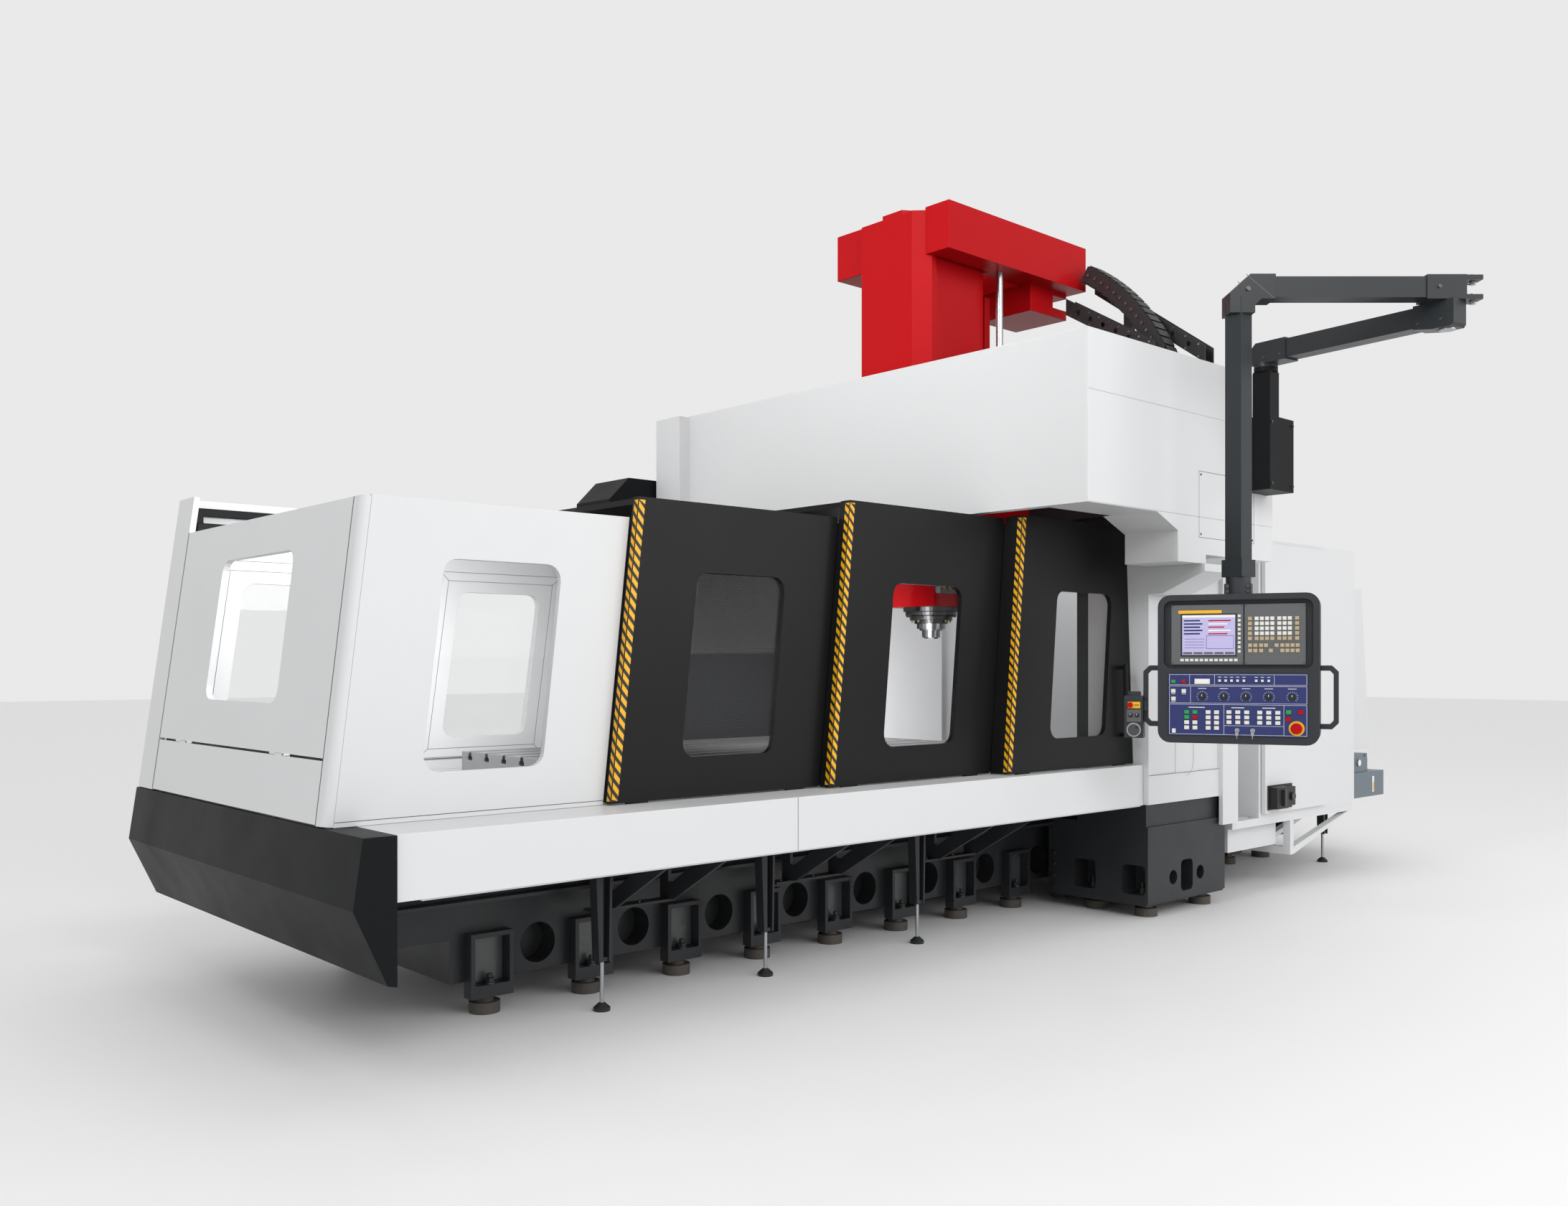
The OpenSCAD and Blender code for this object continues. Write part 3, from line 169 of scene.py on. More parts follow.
class Model:
    """A piece built of boxes, discs and flat shapes in a frame of its own."""

    def __init__(self, name, body, place=Matrix()):
        self.name = name
        self.body = body
        self.place = place
        self.mesh = bmesh.new()
        self.looks = []

    def paint(self, faces, look):
        if look not in self.looks:
            self.looks.append(look)
        for face in faces:
            face.material_index = self.looks.index(look)

    def solid(self, rings, look):
        """Closed body between rings of points, one after the other."""
        loops = [[self.mesh.verts.new(point) for point in ring] for ring in rings]
        count = len(rings[0])
        faces = [self.mesh.faces.new(reversed(loops[0])), self.mesh.faces.new(loops[-1])]
        for low, high in zip(loops, loops[1:]):
            faces += [self.mesh.faces.new((low[i], low[(i + 1) % count], high[(i + 1) % count], high[i]))
                      for i in range(count)]
        self.paint(faces, look)

    def box(self, low, high, look):
        x0, y0, z0 = low
        x1, y1, z1 = high
        self.solid([[(x0, y0, z), (x1, y0, z), (x1, y1, z), (x0, y1, z)] for z in (z0, z1)], look)

    def disc(self, centre, axis, radius, depth, look, sides=20, end_radius=None):
        """Round body from its centre along the axis, tapered where an end radius is given."""
        turn = Vector((0, 0, 1)).rotation_difference(Vector(axis))
        rings = []
        for height, r in ((0, radius), (depth, radius if end_radius is None else end_radius)):
            rings.append([Vector(centre) + turn @ Vector((r * math.cos(a), r * math.sin(a), height))
                          for a in (2 * math.pi * i / sides for i in range(sides))])
        self.solid(rings, look)

    def bolt(self, centre, axis, size, look=None):
        """Hexagon head on a washer."""
        direction = Vector(axis).normalized()
        self.disc(centre, axis, size * 1.25, size * 0.2, look or STEEL)
        self.disc(Vector(centre) + direction * size * 0.2, axis, size, size * 0.7, look or STEEL, 6)

    def bar(self, start, end, width, look, normal):
        """Flat strip between two points, lifted a hair off its surface."""
        start, end, normal = Vector(start), Vector(end), Vector(normal).normalized()
        side = (end - start).normalized().cross(normal) * width / 2
        lift = normal * 0.0006
        corners = [start - side, end - side, end + side, start + side]
        self.solid([corners, [c + lift for c in corners]], look)

    def done(self, width=0.0):
        mesh = bpy.data.meshes.new(self.name)
        self.mesh.transform(self.place)
        bmesh.ops.recalc_face_normals(self.mesh, faces=self.mesh.faces)
        self.mesh.to_mesh(mesh)
        self.mesh.free()
        for look in self.looks:
            mesh.materials.append(look)
        piece = bpy.data.objects.new(self.name, mesh)
        bpy.context.scene.collection.objects.link(piece)
        if width:
            bevel = piece.modifiers.new("bevel", "BEVEL")
            bevel.width = width
            bevel.segments = 2
            bevel.limit_method = "ANGLE"
            bevel.angle_limit = math.radians(35)
        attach(piece, self.body)
        return piece


def at(x, y, z):
    return Matrix.Translation((x, y, z))


def turned(degrees, axis):
    return Matrix.Rotation(math.radians(degrees), 4, axis)


# Sizes of the enclosure, in metres, as the solids have them

SILL = 1.020
FRONT = -4.610
BAY = 1.345
SLOPE = math.tan(math.radians(7.8))
LEAN = 2.0
WALL_Y = 1.232
DOOR_Y = (1.285, 1.365, 1.500)
DOOR_TOP = (2.490, 2.580, 2.590)
WINDOW = (0.400, 0.592, 1.222, 2.140, 0.070)


def sheet_frame(y):
    """Frame of a leaning side sheet: x along the machine, y inward from its outer face, z up from the ledge."""
    return at(0, -y, SILL) @ turned(-LEAN, "X")


END_FRAME = at(FRONT, 0, SILL + 0.030 * math.sin(math.radians(7.8))) @ turned(7.8, "Y")


def rounded(corners, radius, steps=5):
    """Outline with round corners, from its corner points in order."""
    points = []
    for i, corner in enumerate(corners):
        corner = Vector(corner)
        to_last = (Vector(corners[i - 1]) - corner).normalized()
        to_next = (Vector(corners[(i + 1) % len(corners)]) - corner).normalized()
        half = to_last.angle(to_next) / 2
        centre = corner + (to_last + to_next).normalized() * radius / math.sin(half)
        first = corner + to_last * radius / math.tan(half) - centre
        last = corner + to_next * radius / math.tan(half) - centre
        for k in range(steps + 1):
            mixed = first.lerp(last, k / steps)
            points.append(centre + mixed.normalized() * radius)
    return points


def window_points(left, grow):
    """Outline of a window in its sheet, grown outward into the sheet's edge."""
    inset, width, low, high, radius = WINDOW
    low, high = low - SILL - grow, high - SILL + grow
    x0, x1 = left + inset - grow, left + inset + width + grow
    return rounded([(x0 + low * SLOPE, low), (x1 + low * SLOPE, low), (x1 + high * SLOPE, high),
                    (x0 + high * SLOPE, high)], radius)


def window_pane(name, body, place, left):
    pane = Model(name, body, place)
    outline = window_points(left, -0.001)
    pane.solid([[(p.x, y, p.y) for p in outline] for y in (0.020, 0.024)], PANE)
    pane.done()


def add_panes():
    window_pane("pane_side_near", "frame", sheet_frame(WALL_Y), FRONT)
    for i in range(3):
        window_pane(f"pane_door_{i + 1}", f"near_door_{i + 1}", sheet_frame(DOOR_Y[i]), FRONT + (i + 1) * BAY)
    far = Matrix.Scale(-1, 4, (0, 1, 0)) @ at(0, -WALL_Y, SILL)
    for i in range(2):
        pane = Model(f"pane_side_far_{i + 1}", "frame")
        outline = window_points(FRONT + i * BAY, -0.001)
        pane.solid([[far @ Vector((p.x, y, p.y)) for p in outline] for y in (0.020, 0.024)], PANE)
        pane.done()
    pane = Model("pane_end", "frame", END_FRAME)
    outline = rounded([(-0.559, 0.491), (-0.529, 1.184), (0.359, 1.184), (0.359, 0.491)], 0.070)
    pane.solid([[(x, p.x, p.y) for p in outline] for x in (0.014, 0.018)], PANE)
    pane.done()


# Yellow and black edge tape that folds round the leading edge of each near door

def stripe_band(model, origin, up, across, width, length, normal, first):
    """One face of the tape: a yellow base with black bars that fall to the right."""
    pitch = 0.052
    bar = 0.023
    fall = 1.05

    def point(u, v, lift):
        return origin + across * u + up * min(max(v, 0), length) + normal * lift

    base = [(0, 0), (width, 0), (width, length), (0, length)]
    model.solid([[point(u, v, lift) for u, v in base] for lift in (0.0002, 0.0008)], YELLOW)
    for k in range(-2, int(length / pitch) + 2):
        v = first + k * pitch
        ring = [(0, v + width * fall), (width, v), (width, v + bar), (0, v + width * fall + bar)]
        if v > length or v + width * fall + bar < 0:
            continue
        model.solid([[point(u, w, lift) for u, w in ring] for lift in (0.0009, 0.0013)], BLACK)


def add_door_tape():
    front_w = 0.036
    side_w = 0.030
    edge = 0.0035
    for i in range(3):
        x0 = FRONT + (i + 1) * BAY + 0.003
        length = (DOOR_TOP[i] - SILL - 0.035) / math.cos(math.radians(7.8))
        up = Vector((math.sin(math.radians(7.8)), 0, math.cos(math.radians(7.8))))
        origin = Vector((x0 + 0.020 * SLOPE, 0, 0.020))
        tape = Model(f"tape_door_{i + 1}", f"near_door_{i + 1}", sheet_frame(DOOR_Y[i]))
        stripe_band(tape, origin + Vector((edge, 0, 0)), up, Vector((1, 0, 0)), front_w, length,
                    Vector((0, -1, 0)), 0.0)
        left = Vector((-math.cos(math.radians(7.8)), 0, math.sin(math.radians(7.8))))
        stripe_band(tape, origin + Vector((0, edge + side_w, 0)), up, Vector((0, -1, 0)), side_w, length, left,
                    (front_w + 2 * edge) * 1.05)
        tape.done()


def add_edge_seals():
    """Strips that reach behind the next door's return and close the slit between them."""
    edges = [(WALL_Y, 2.392, "frame")] + [(DOOR_Y[i], DOOR_TOP[i], f"near_door_{i + 1}") for i in range(2)]
    for i, (y, top, body) in enumerate(edges):
        x = FRONT + (i + 1) * BAY - 0.003
        low, high = 0.012, top - SILL - 0.034
        seal = Model(f"edge_seal_{i + 1}", body, sheet_frame(y))
        outline = [(x - 0.004 + low * SLOPE, low), (x + 0.028 + low * SLOPE, low), (x + 0.028 + high * SLOPE, high),
                   (x - 0.004 + high * SLOPE, high)]
        seal.solid([[(u, depth, v) for u, v in outline] for depth in (0.006, 0.024)], BLACK)
        seal.done()


# Sheet joints, plates and frames of the white covers

def add_sheet_joints():
    thin = 0.003
    side = Model("joints_side", "frame")
    side.bar((-2.337, -1.577, 0.757), (-2.337, -1.577, 1.019), thin, LINE, (0, -1, 0))
    corners = [(0.724, 2.484), (1.416, 2.484), (1.416, 2.903), (0.724, 2.903)]
    for i, (x, z) in enumerate(corners):
        x2, z2 = corners[(i + 1) % 4]
        side.bar((x, -2.0, z), (x2, -2.0, z2), thin, LINE, (0, -1, 0))
    for x in (0.745, 1.395):
        for z in (2.505, 2.882):
            side.disc((x, -2.0, z), (0, -1, 0), 0.007, 0.003, STEEL, 12)
    for z in (0.95, 2.15):
        side.bar((0.76, -1.616, z), (1.74, -1.616, z), thin, LINE, (0, -1, 0))
    side.done()

    wall = Model("joints_wall", "frame", sheet_frame(WALL_Y))
    x1 = FRONT + BAY - 0.003
    wall.bar((FRONT + 0.045, 0, 0.022), (x1, 0, 0.022), thin, LINE, (0, -1, 0))
    wall.done()

    end = Model("joints_end", "frame", END_FRAME)
    end.bar((-0.001, -1.1498, 0.004), (-0.001, -1.1019, 1.372), 0.005, LINE, (-1, 0, 0))
    end.bar((-0.001, 0.9618, 0.004), (-0.001, 0.9618, 1.372), 0.005, LINE, (-1, 0, 0))
    end.done()

    seal = Model("flap_seal", "frame", END_FRAME)
    for y0, y1 in ((-1.130, -0.715), (-0.525, 0.545), (0.735, 0.950)):
        seal.box((0.0305, y0, 0.262), (0.0335, y1, 0.300), BLACK)
    seal.done(0.0004)

    far = Model("joints_far_frames", "frame")
    inset, width, low, high, radius = WINDOW
    y = WALL_Y - 0.048
    for i in range(2):
        rings = []
        for grow_x, grow_z in ((0.145, 0.125), (0.085, 0.070), (0.020, 0.020)):
            x0, x2 = FRONT + i * BAY + inset - grow_x, FRONT + i * BAY + inset + width + grow_x
            z0, z1 = low - grow_z, high + grow_z
            rings.append([Vector((x + (z - SILL) * SLOPE, y, z)) for x, z in ((x0, z0), (x2, z0), (x2, z1), (x0, z1))])
        for ring in rings[:2]:
            for k in range(4):
                far.bar(ring[k], ring[(k + 1) % 4], thin, LINE, (0, -1, 0))
        for k in range(4):
            far.bar(rings[0][k], rings[1][k], thin, LINE, (0, -1, 0))
    far.done()


# Control pendant: screen unit, key block and the panel of switches

PENDANT = at(0.270831, -2.51446, 1.225) @ turned(203.8, "Z")
MM = 0.001


class Face:
    """Flat front of a plate, with places in millimetres from its lower left corner."""

    def __init__(self, model, depth, left, low):
        self.model = model
        self.depth = depth
        self.left = left
        self.low = low

    def plate(self, u0, v0, u1, v1, look, lift=2.0, start=0.0):
        low = (self.depth + start * MM, self.left + u0 * MM, self.low + v0 * MM)
        high = (self.depth + (start + lift) * MM, self.left + u1 * MM, self.low + v1 * MM)
        self.model.box(low, high, look)

    def key(self, u, v, w, h, look, lift=5.0):
        self.plate(u - w / 2, v - h / 2, u + w / 2, v + h / 2, look, lift)

    def knob(self, u, v, radius, look, lift=12.0, start=0.0, taper=1.0, sides=24):
        centre = (self.depth + start * MM, self.left + u * MM, self.low + v * MM)
        self.model.disc(centre, (1, 0, 0), radius * MM, lift * MM, look, sides, radius * taper * MM)

    def line(self, u0, v0, u1, v1, look=None, width=1.6):
        start = (self.depth, self.left + u0 * MM, self.low + v0 * MM)
        end = (self.depth, self.left + u1 * MM, self.low + v1 * MM)
        self.model.bar(start, end, width * MM, look or PRINT, (1, 0, 0))

    def frame(self, u0, v0, u1, v1, look=None, width=1.6):
        corners = [(u0, v0), (u1, v0), (u1, v1), (u0, v1)]
        for i, corner in enumerate(corners):
            self.line(*corner, *corners[(i + 1) % 4], look, width)

    def ticks(self, u, v, radius, count, length, look=None):
        """Part ring of short strokes round a dial."""
        for i in range(count):
            a = math.radians(225 - 270 * i / (count - 1))
            c, s = math.cos(a), math.sin(a)
            self.line(u + radius * c, v + radius * s, u + (radius + length) * c, v + (radius + length) * s, look)


def add_screen_unit():
    model = Model("pendant_screen", "pendant", PENDANT)
    face = Face(model, 0.072, -0.365, 0.455)
    face.plate(0, 0, 396, 345, GREY, 4)
    face.plate(406, 0, 730, 345, GREY, 4)
    face = Face(model, 0.076, -0.365, 0.455)
    face.plate(39, 296, 280, 314, YELLOW, 1)
    face.plate(52, 46, 362, 300 - 6, BLACK, 1)
    face.plate(61, 56, 354, 286, LILAC, 1, 1)
    face = Face(model, 0.078, -0.365, 0.455)
    face.plate(61, 272, 354, 286, PRINT, 0.4)
    for row in range(5):
        v = 250 - row * 19
        face.plate(70, v, 160 + 14 * (row % 2), v + 9, BLUE, 0.4)
        face.plate(206, v, 330 - 18 * (row % 3), v + 7, PRINT if row % 2 else RED, 0.4)
    face.frame(196, 92, 345, 166, BLUE, 2)
    for row in range(4):
        face.line(74, 148 - row * 17, 184, 148 - row * 17, BLUE, 2)
    for i in range(5):
        face.plate(66 + i * 58, 60, 116 + i * 58, 72, GREY, 0.4)
    keys = Face(model, 0.076, -0.365, 0.455)
    for i in range(12):
        keys.key(60 + i * 27, 26, 19, 15, KEY, 4)
    for i in range(9):
        keys.key(376, 279 - i * 25.4, 15, 15, KEY, 4)
    columns = [434, 470, 498, 526, 554, 591, 619, 647, 685]
    for row in range(5):
        v = 263 - row * 28.4
        for i, u in enumerate(columns):
            keys.key(u, v, 21, 20, BEIGE if i in (0, 8) or row == 4 else KEY, 5)
    for u in (435, 463, 494, 520, 577, 607, 634, 661, 688):
        keys.key(u, 110, 21, 20, BEIGE, 5)
    for u in (435, 463, 494, 546, 607, 634, 661, 688):
        keys.key(u, 80, 21, 20, BEIGE, 5)
    for u in (8, 388, 414, 722):
        for v in (8, 337):
            keys.knob(u, v, 4, STEEL, 2, sides=12)
    model.done(0.0006)


def add_switch_panel():
    model = Model("pendant_switches", "pendant", PENDANT)
    face = Face(model, 0.107, -0.380, 0.045)
    face.plate(2, 2, 758, 358, BLUE, 1.5)
    face = Face(model, 0.1085, -0.380, 0.045)
    face.frame(8, 293, 752, 352)
    for u in (121, 259, 581):
        face.line(u, 293, u, 352)
    face.frame(8, 188, 752, 285)
    face.line(126, 188, 126, 285)
    face.frame(8, 8, 752, 180)
    for u in (310, 632):
        face.line(u, 8, u, 180)
    face.line(310, 60, 632, 60)
    for u, look in ((31, GREEN), (89, RED)):
        face.knob(u, 312, 12, GREY, 4)
        face.key(u, 312, 24, 16, look, 12)
    face.plate(149, 298, 233, 328, KEY, 6)
    face.plate(156, 303, 226, 323, PRINT, 1, 6)
    for u in (287, 320, 352, 385, 419, 485, 518, 552):
        face.knob(u, 318, 8, STEEL, 2)
        face.key(u, 318, 13, 13, KEY, 7)
        face.key(u, 338, 18, 3, PRINT, 0.5)
    for u, v in ((30, 257), (89, 257), (31, 212)):
        face.key(u, v, 24, 22, KEY, 7)
        face.key(u, v - 17, 22, 3, PRINT, 0.5)
    for u in (191, 310, 430, 552, 676):
        face.ticks(u, 226, 25, 13, 7)
        face.knob(u, 226, 19, BLACK, 6)
        face.knob(u, 226, 13, BLACK, 20, 6, 0.85)
        face.key(u, 233, 3, 11, PRINT, 27)
        face.key(u, 272, 46, 3, PRINT, 0.5)
    for group in (105, 224):
        for column in range(2):
            for row in range(4):
                u, v = group + column * 46, 136 - row * 30
                look = KEY
                if group == 105 and row < 2:
                    look = RED if (column, row) == (1, 1) else GREEN
                face.key(u, v, 26, 21, look, 7)
    for group in (338, 504):
        for column in range(3):
            for row in range(3):
                face.key(group + column * 48, 138 - row * 29, 26, 20, KEY, 7)
        face.key(group + 48, 163, 70, 4, PRINT, 0.5)
    face.key(160, 163, 90, 4, PRINT, 0.5)
    for u, v, look in ((657, 142, GREEN), (721, 142, RED), (657, 102, RED)):
        face.key(u, v, 27, 22, look, 9)
    face.key(33, 26, 20, 24, KEY, 8)
    face.knob(699, 50, 42, YELLOW, 3)
    face.knob(699, 50, 20, STEEL, 14, 3)
    face.knob(699, 50, 31, RED, 16, 17, 0.82)
    for u in (382, 466):
        face.knob(u, 34, 13, BRIGHT, 7)
        face.key(u, 34, 4, 24, BRIGHT, 20)
        face.plate(u - 9, 4, u + 9, 24, BRIGHT, 3, 17)
        face.plate(u - 2, -14, u + 2, 6, BRIGHT, 3, 18)
    for u in (6, 200, 394, 586, 754):
        for v in (5, 355):
            face.knob(u, v, 3.5, STEEL, 2, sides=12)
    model.done(0.0008)


def add_hand_unit():
    model = Model("hand_unit_controls", "pendant", PENDANT)
    face = Face(model, 0.056, -0.640, 0.245 - 0.225)
    face.plate(22, 176, 94, 214, YELLOW, 3)
    face.knob(36, 195, 17, RED, 26, 3, 0.85)
    face.key(74, 195, 26, 5, BLACK, 4)
    face.plate(16, 96, 98, 168, GREY, 3)
    for u in (38, 76):
        face.ticks(u, 134, 17, 9, 4)
        face.knob(u, 134, 13, BLACK, 16, 3, 0.85)
        face.key(u, 140, 3, 9, PRINT, 20)
    face.knob(56, 48, 42, BRIGHT, 4)
    face.knob(56, 48, 35, STEEL, 10, 4, 0.95, 36)
    face.knob(74, 62, 6, BLACK, 16, 10, sides=12)
    for u in (10, 101):
        for v in (10, 240):
            face.knob(u, v, 3, STEEL, 2, sides=12)
    model.done(0.0008)


# Spindle: flange rings, nozzles and the valve block beside the head

def add_spindle_parts():
    axis_x, axis_y = 0.200, -0.220
    down = (0, 0, -1)
    model = Model("spindle_flange", "ram")
    for z, radius, depth in ((2.080, 0.195, 0.030), (2.048, 0.180, 0.026), (2.020, 0.150, 0.030), (1.988, 0.118, 0.022)):
        model.disc((axis_x, axis_y, z), down, radius, depth, STEEL, 48)
    for i in range(12):
        a = 2 * math.pi * (i + 0.5) / 12
        place = (axis_x + 0.165 * math.cos(a), axis_y + 0.165 * math.sin(a), 2.022)
        model.bolt(place, down, 0.010, BLACK)
    for i in range(8):
        a = 2 * math.pi * i / 8
        place = (axis_x + 0.134 * math.cos(a), axis_y + 0.134 * math.sin(a), 1.990)
        model.disc(place, down, 0.009, 0.016, BRASS, 12, 0.005)
    for side in (-1, 1):
        model.box((axis_x + side * 0.19 - 0.03, axis_y - 0.06, 2.052), (axis_x + side * 0.19 + 0.03, axis_y + 0.06, 2.079),
                  BLACK)
    model.done(0.001)

    block = Model("valve_block", "ram")
    y = axis_y - 0.230
    block.box((-0.02, y - 0.045, 2.165), (0.30, y, 2.240), BRIGHT)
    for i in range(5):
        x = 0.015 + i * 0.062
        block.disc((x, y - 0.045, 2.203), (0, -1, 0), 0.014, 0.024, BRASS, 6)
        block.disc((x, y - 0.069, 2.203), (0, -1, 0), 0.009, 0.014, STEEL, 12)
    for i in range(2):
        block.box((0.05 + i * 0.13, y - 0.035, 2.240), (0.13 + i * 0.13, y, 2.275), BLACK)
    block.done(0.001)

    keys = Model("spindle_keys", "spindle")
    for side in (-1, 1):
        keys.box((axis_x + side * 0.052 - 0.009, axis_y - 0.012, 1.862), (axis_x + side * 0.052 + 0.009, axis_y + 0.012, 1.872),
                 STEEL)
    keys.disc((axis_x, axis_y, 1.930), down, 0.082, 0.012, BRIGHT, 40)
    keys.done(0.001)


# Bolts of the castings, brackets and arms

POCKET_Y = 0.690
BED_END = 4.500
SPINDLE_Y = -0.220
LEGS = ((FRONT + BAY + 0.115, 1.050), (FRONT + 2 * BAY - 0.170, 1.050), (FRONT + 3 * BAY - 0.295, 1.050),
        (BED_END - 0.390, 1.190))


def add_bolts():
    model = Model("bolts_base", "frame")
    for i in range(14):
        x = -3.580 + i * 0.584
        for side in (-1, 1):
            y = side * 0.728
            model.disc((x, y, 0.145), (0, 0, 1), 0.030, 0.006, STEEL)
            model.disc((x, y, 0.151), (0, 0, 1), 0.024, 0.020, BLACK, 6)
            model.disc((x, y, 0.171), (0, 0, 1), 0.013, 0.022, BLACK, 16)
    for side in (-1, 1):
        for z in (0.13, 0.21, 0.29, 0.37):
            model.bolt((0.770, side * 0.855, z), (-1, 0, 0), 0.015)
        for y in (1.107, 1.493):
            model.disc((0.880, side * y, 0.155), (0, 0, 1), 0.034, 0.008, STEEL)
            model.disc((0.880, side * y, 0.163), (0, 0, 1), 0.026, 0.022, BLACK, 6)
            model.disc((0.880, side * y, 0.185), (0, 0, 1), 0.015, 0.040, BLACK, 16)
        for first in (-3.015, -1.790, -0.565):
            for dx in (-0.06, 0.19, 0.39):
                model.bolt((first + dx, side * 0.905, 0.465), (0, 0, 1), 0.010)
    model.done(0.001)

    # Thin panels on the back faces of the pockets. Their colour, lighter than the casting, is a painted highlight on
    # the rough cast surface.
    cast = Model("rough_pockets_painted_highlight", "frame")
    for i in range(14):
        x = -3.580 + i * 0.584
        for side in (-1, 1):
            y = side * (POCKET_Y + 0.001)
            cast.box((x - 0.090, min(y, y + side * 0.002), 0.150), (x + 0.090, max(y, y + side * 0.002), 0.370), ROUGH_CAST_AND_HIGHLIGHT)
    cast.done(0.0005)

    legs = Model("leg_screws", "frame")
    for x, y in LEGS:
        for side in (-1, 1):
            legs.disc((x, side * y, 0.040), (0, 0, 1), 0.0108, 0.199, BRIGHT, 24)
    legs.done(0.0004)

    seam = Model("tower_seam", "ram")
    seam.box((-0.2115, SPINDLE_Y - 0.190, 3.600), (-0.2085, SPINDLE_Y + 0.285, 3.605), LINE)
    seam.done(0.0004)

    post = Model("bolts_post", "frame")
    for x in (1.29, 1.57):
        for z in (2.86, 3.26):
            post.bolt((x, -2.190, z), (0, -1, 0), 0.010)
    post.done()

    lower = Model("lower_arm_bolts", "lower_arm", at(1.330, -2.130, 3.650) @ turned(-97.8, "Z"))
    for side in (-1, 1):
        for x in (0.03, 0.15):
            lower.bolt((x, side * 0.070, 0.025), (0, side, 0), 0.009)
        for x in (1.07, 1.21):
            lower.bolt((x, side * 0.068, 0.020), (0, side, 0), 0.009)
    lower.disc((1.210, 0, -0.026), (0, 0, -1), 0.046, 0.010, BRIGHT, 32)
    lower.done(0.0008)

    upper = Model("upper_arm_bolts", "upper_arm", at(1.165797, -3.328816, 3.790) @ turned(137.7, "Z"))
    for side in (-1, 1):
        y = side * 0.072
        upper.bolt((1.18, y, 0.045), (0, side, 0), 0.013)
        upper.bar((1.03, y, -0.008), (1.19, y, 0.128), 0.004, LINE, (0, side, 0))
        upper.bolt((0.08, side * 0.068, 0.060), (0, side, 0), 0.011)
        for z in (0.004, 0.116):
            upper.bolt((-0.145, 0, z + (0.014 if side > 0 else -0.014)), (0, 0, side), 0.018, BRIGHT)
    upper.done(0.0008)

    neck = Model("pendant_neck_bolts", "pendant", PENDANT)
    for y in (-0.055, 0.055):
        for z in (0.875, 0.905):
            neck.bolt((0.050, y, z), (1, 0, 0), 0.008)
    neck.done(0.0006)


# Hose chain: a rib and a pin on every link, and rivets on the channels

def add_chain_parts():
    count = 14
    for name in ("chain_links", "channel_rivets"):
        model = Model(name, "saddle")
        if name == "chain_links":
            for i in range(count):
                a = math.radians(123.2 + i * (155.0 - 123.2) / (count - 1))
                place = at(0, 0.113, 3.156) @ Matrix.Rotation(a, 4, "X")
                for x in (1.290, 1.440):
                    side = -1 if x < 1.36 else 1
                    start = place @ Vector((x, 1.630, 0))
                    model.disc(start, (side, 0, 0), 0.016, 0.005, STEEL, 16)
                    model.disc(start + Vector((side * 0.005, 0, 0)), (side, 0, 0), 0.007, 0.003, BRIGHT, 12)
        else:
            for x, high, low in ((1.140, (-0.690, 4.340), (-1.420, 3.895)), (1.500, (-0.690, 4.560), (-1.595, 3.895))):
                for i in range(9):
                    t = (i + 0.5) / 9
                    y = high[0] + (low[0] - high[0]) * t
                    z = high[1] + (low[1] - high[1]) * t
                    for dz in (0.018, 0.104):
                        model.disc((x, y, z - dz), (-1, 0, 0), 0.007, 0.003, BRIGHT, 10)
        model.done()


# Cabinet, tank and end fittings

def add_cabinet_parts():
    door = Model("cabinet_switch", "cabinet_door")
    y = -1.635
    door.box((2.300, y - 0.012, 0.610), (2.660, y, 0.790), BLACK)
    door.box((2.315, y - 0.070, 0.620), (2.490, y - 0.012, 0.780), BLACK)
    door.box((2.525, y - 0.045, 0.630), (2.645, y - 0.012, 0.770), BLACK)
    door.box((2.390, y - 0.095, 0.640), (2.415, y - 0.070, 0.760), STEEL)
    door.disc((2.585, y - 0.045, 0.700), (0, -1, 0), 0.030, 0.020, STEEL)
    door.box((2.330, y - 0.012, 1.560), (2.365, y, 1.720), BLACK)
    door.box((2.338, y - 0.030, 1.580), (2.357, y - 0.012, 1.700), STEEL)
    door.done(0.002)

    tank = Model("tank_fittings", "frame")
    tank.disc((3.960, -1.560, 0.870), (0, -1, 0), 0.030, 0.014, BRIGHT, 32)
    tank.disc((3.960, -1.574, 0.870), (0, -1, 0), 0.025, 0.002, PRINT, 32)
    tank.box((4.180, -1.584, 0.620), (4.210, -1.580, 0.750), PRINT)
    tank.box((4.186, -1.5855, 0.630), (4.204, -1.584, 0.700), YELLOW)
    tank.disc((4.300, -1.440, 0.790), (0, 0, 1), 0.035, 0.025, BLACK, 24)
    for x in (3.86, 4.08):
        tank.bolt((x, -1.560, 0.925), (0, -1, 0), 0.007)
    tank.done(0.001)


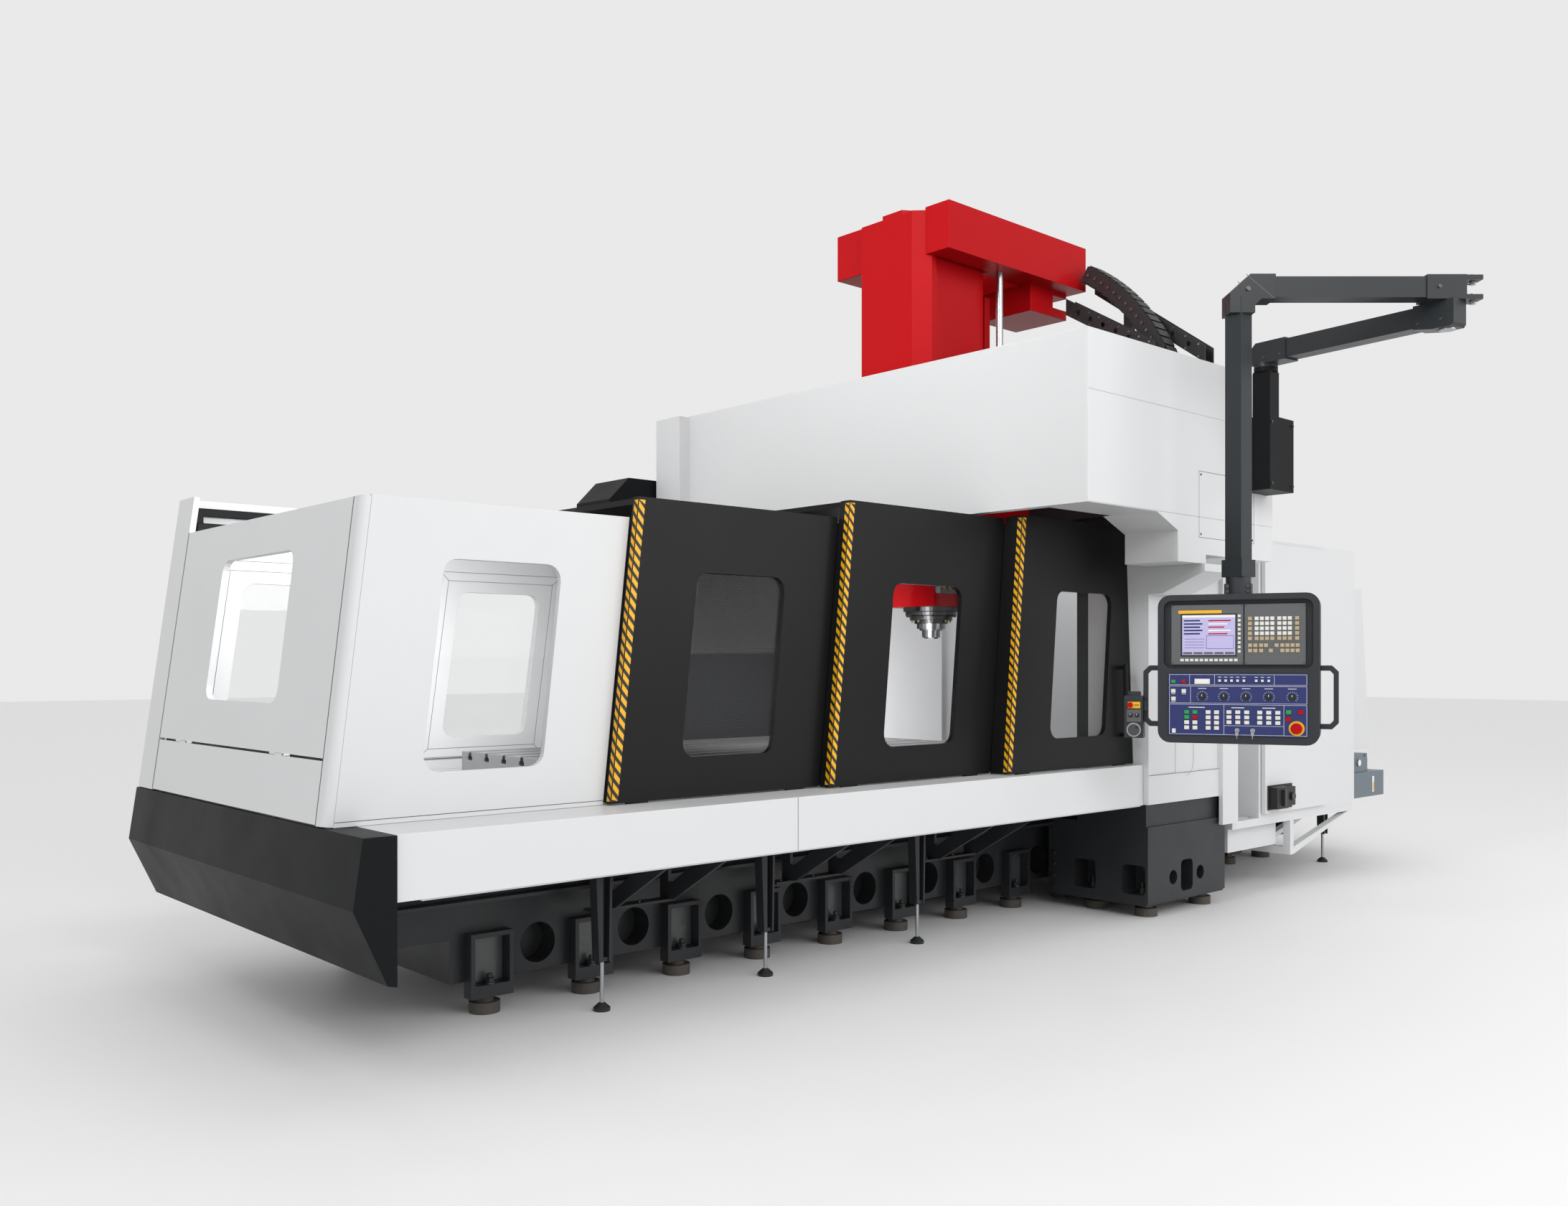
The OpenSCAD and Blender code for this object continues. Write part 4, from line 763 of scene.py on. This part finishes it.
add_panes()
add_door_tape()
add_edge_seals()
add_sheet_joints()
add_screen_unit()
add_switch_panel()
add_hand_unit()
add_spindle_parts()
add_bolts()
add_chain_parts()
add_cabinet_parts()


# Floor, light and camera

def stage_floor():
    mesh = bpy.data.meshes.new("floor")
    size = 60
    mesh.from_pydata([(-size, -size, 0), (size, -size, 0), (size, size, 0), (-size, size, 0)], [], [(0, 1, 2, 3)])
    floor = bpy.data.objects.new("floor", mesh)
    bpy.context.scene.collection.objects.link(floor)
    mesh.materials.append(surface("floor", (0.86, 0.86, 0.86), 0.6))


def lamp(name, place, target, size, power, spread=180):
    light = bpy.data.lights.new(name, "AREA")
    light.spread = math.radians(spread)
    light.shape = "RECTANGLE"
    light.size, light.size_y = size
    light.energy = power
    lamp_object = bpy.data.objects.new(name, light)
    lamp_object.visible_camera = False
    lamp_object.location = place
    lamp_object.rotation_euler = (Vector(target) - Vector(place)).to_track_quat("-Z", "Y").to_euler()
    bpy.context.scene.collection.objects.link(lamp_object)


stage_floor()
lamp("key", (-6, -11, 9), (0, 0, 1), (8, 5), 500)
lamp("side", (3, -12, 5), (0, 0, 1.5), (9, 5), 300)
lamp("inside front", (-3.3, -0.7, 2.35), (-3.2, 2, 1.2), (1.6, 0.6), 26, 120)
lamp("inside middle", (-1.9, -0.9, 1.9), (0.3, 1.5, 1.05), (1.0, 0.5), 45, 70)
lamp("beam", (-9, -1, 7.5), (0, -0.3, 3.6), (4, 3), 28, 36)
world = bpy.data.worlds.new("studio")
bpy.context.scene.world = world
world.use_nodes = True
world.node_tree.nodes["Background"].inputs["Color"].default_value = (1, 1, 1, 1)
world.node_tree.nodes["Background"].inputs["Strength"].default_value = 0.82

camera = bpy.data.objects.new("camera", bpy.data.cameras.new("camera"))
bpy.context.scene.collection.objects.link(camera)
camera.location = (-6.757, -6.347, 1.683)
camera.rotation_euler = (math.radians(90), 0, math.radians(-42.2))
camera.data.sensor_width = 36
camera.data.lens = 29.97
camera.data.shift_y = 0.0389
camera.data.clip_end = 200
bpy.context.scene.camera = camera
bpy.context.scene.view_settings.view_transform = "Standard"
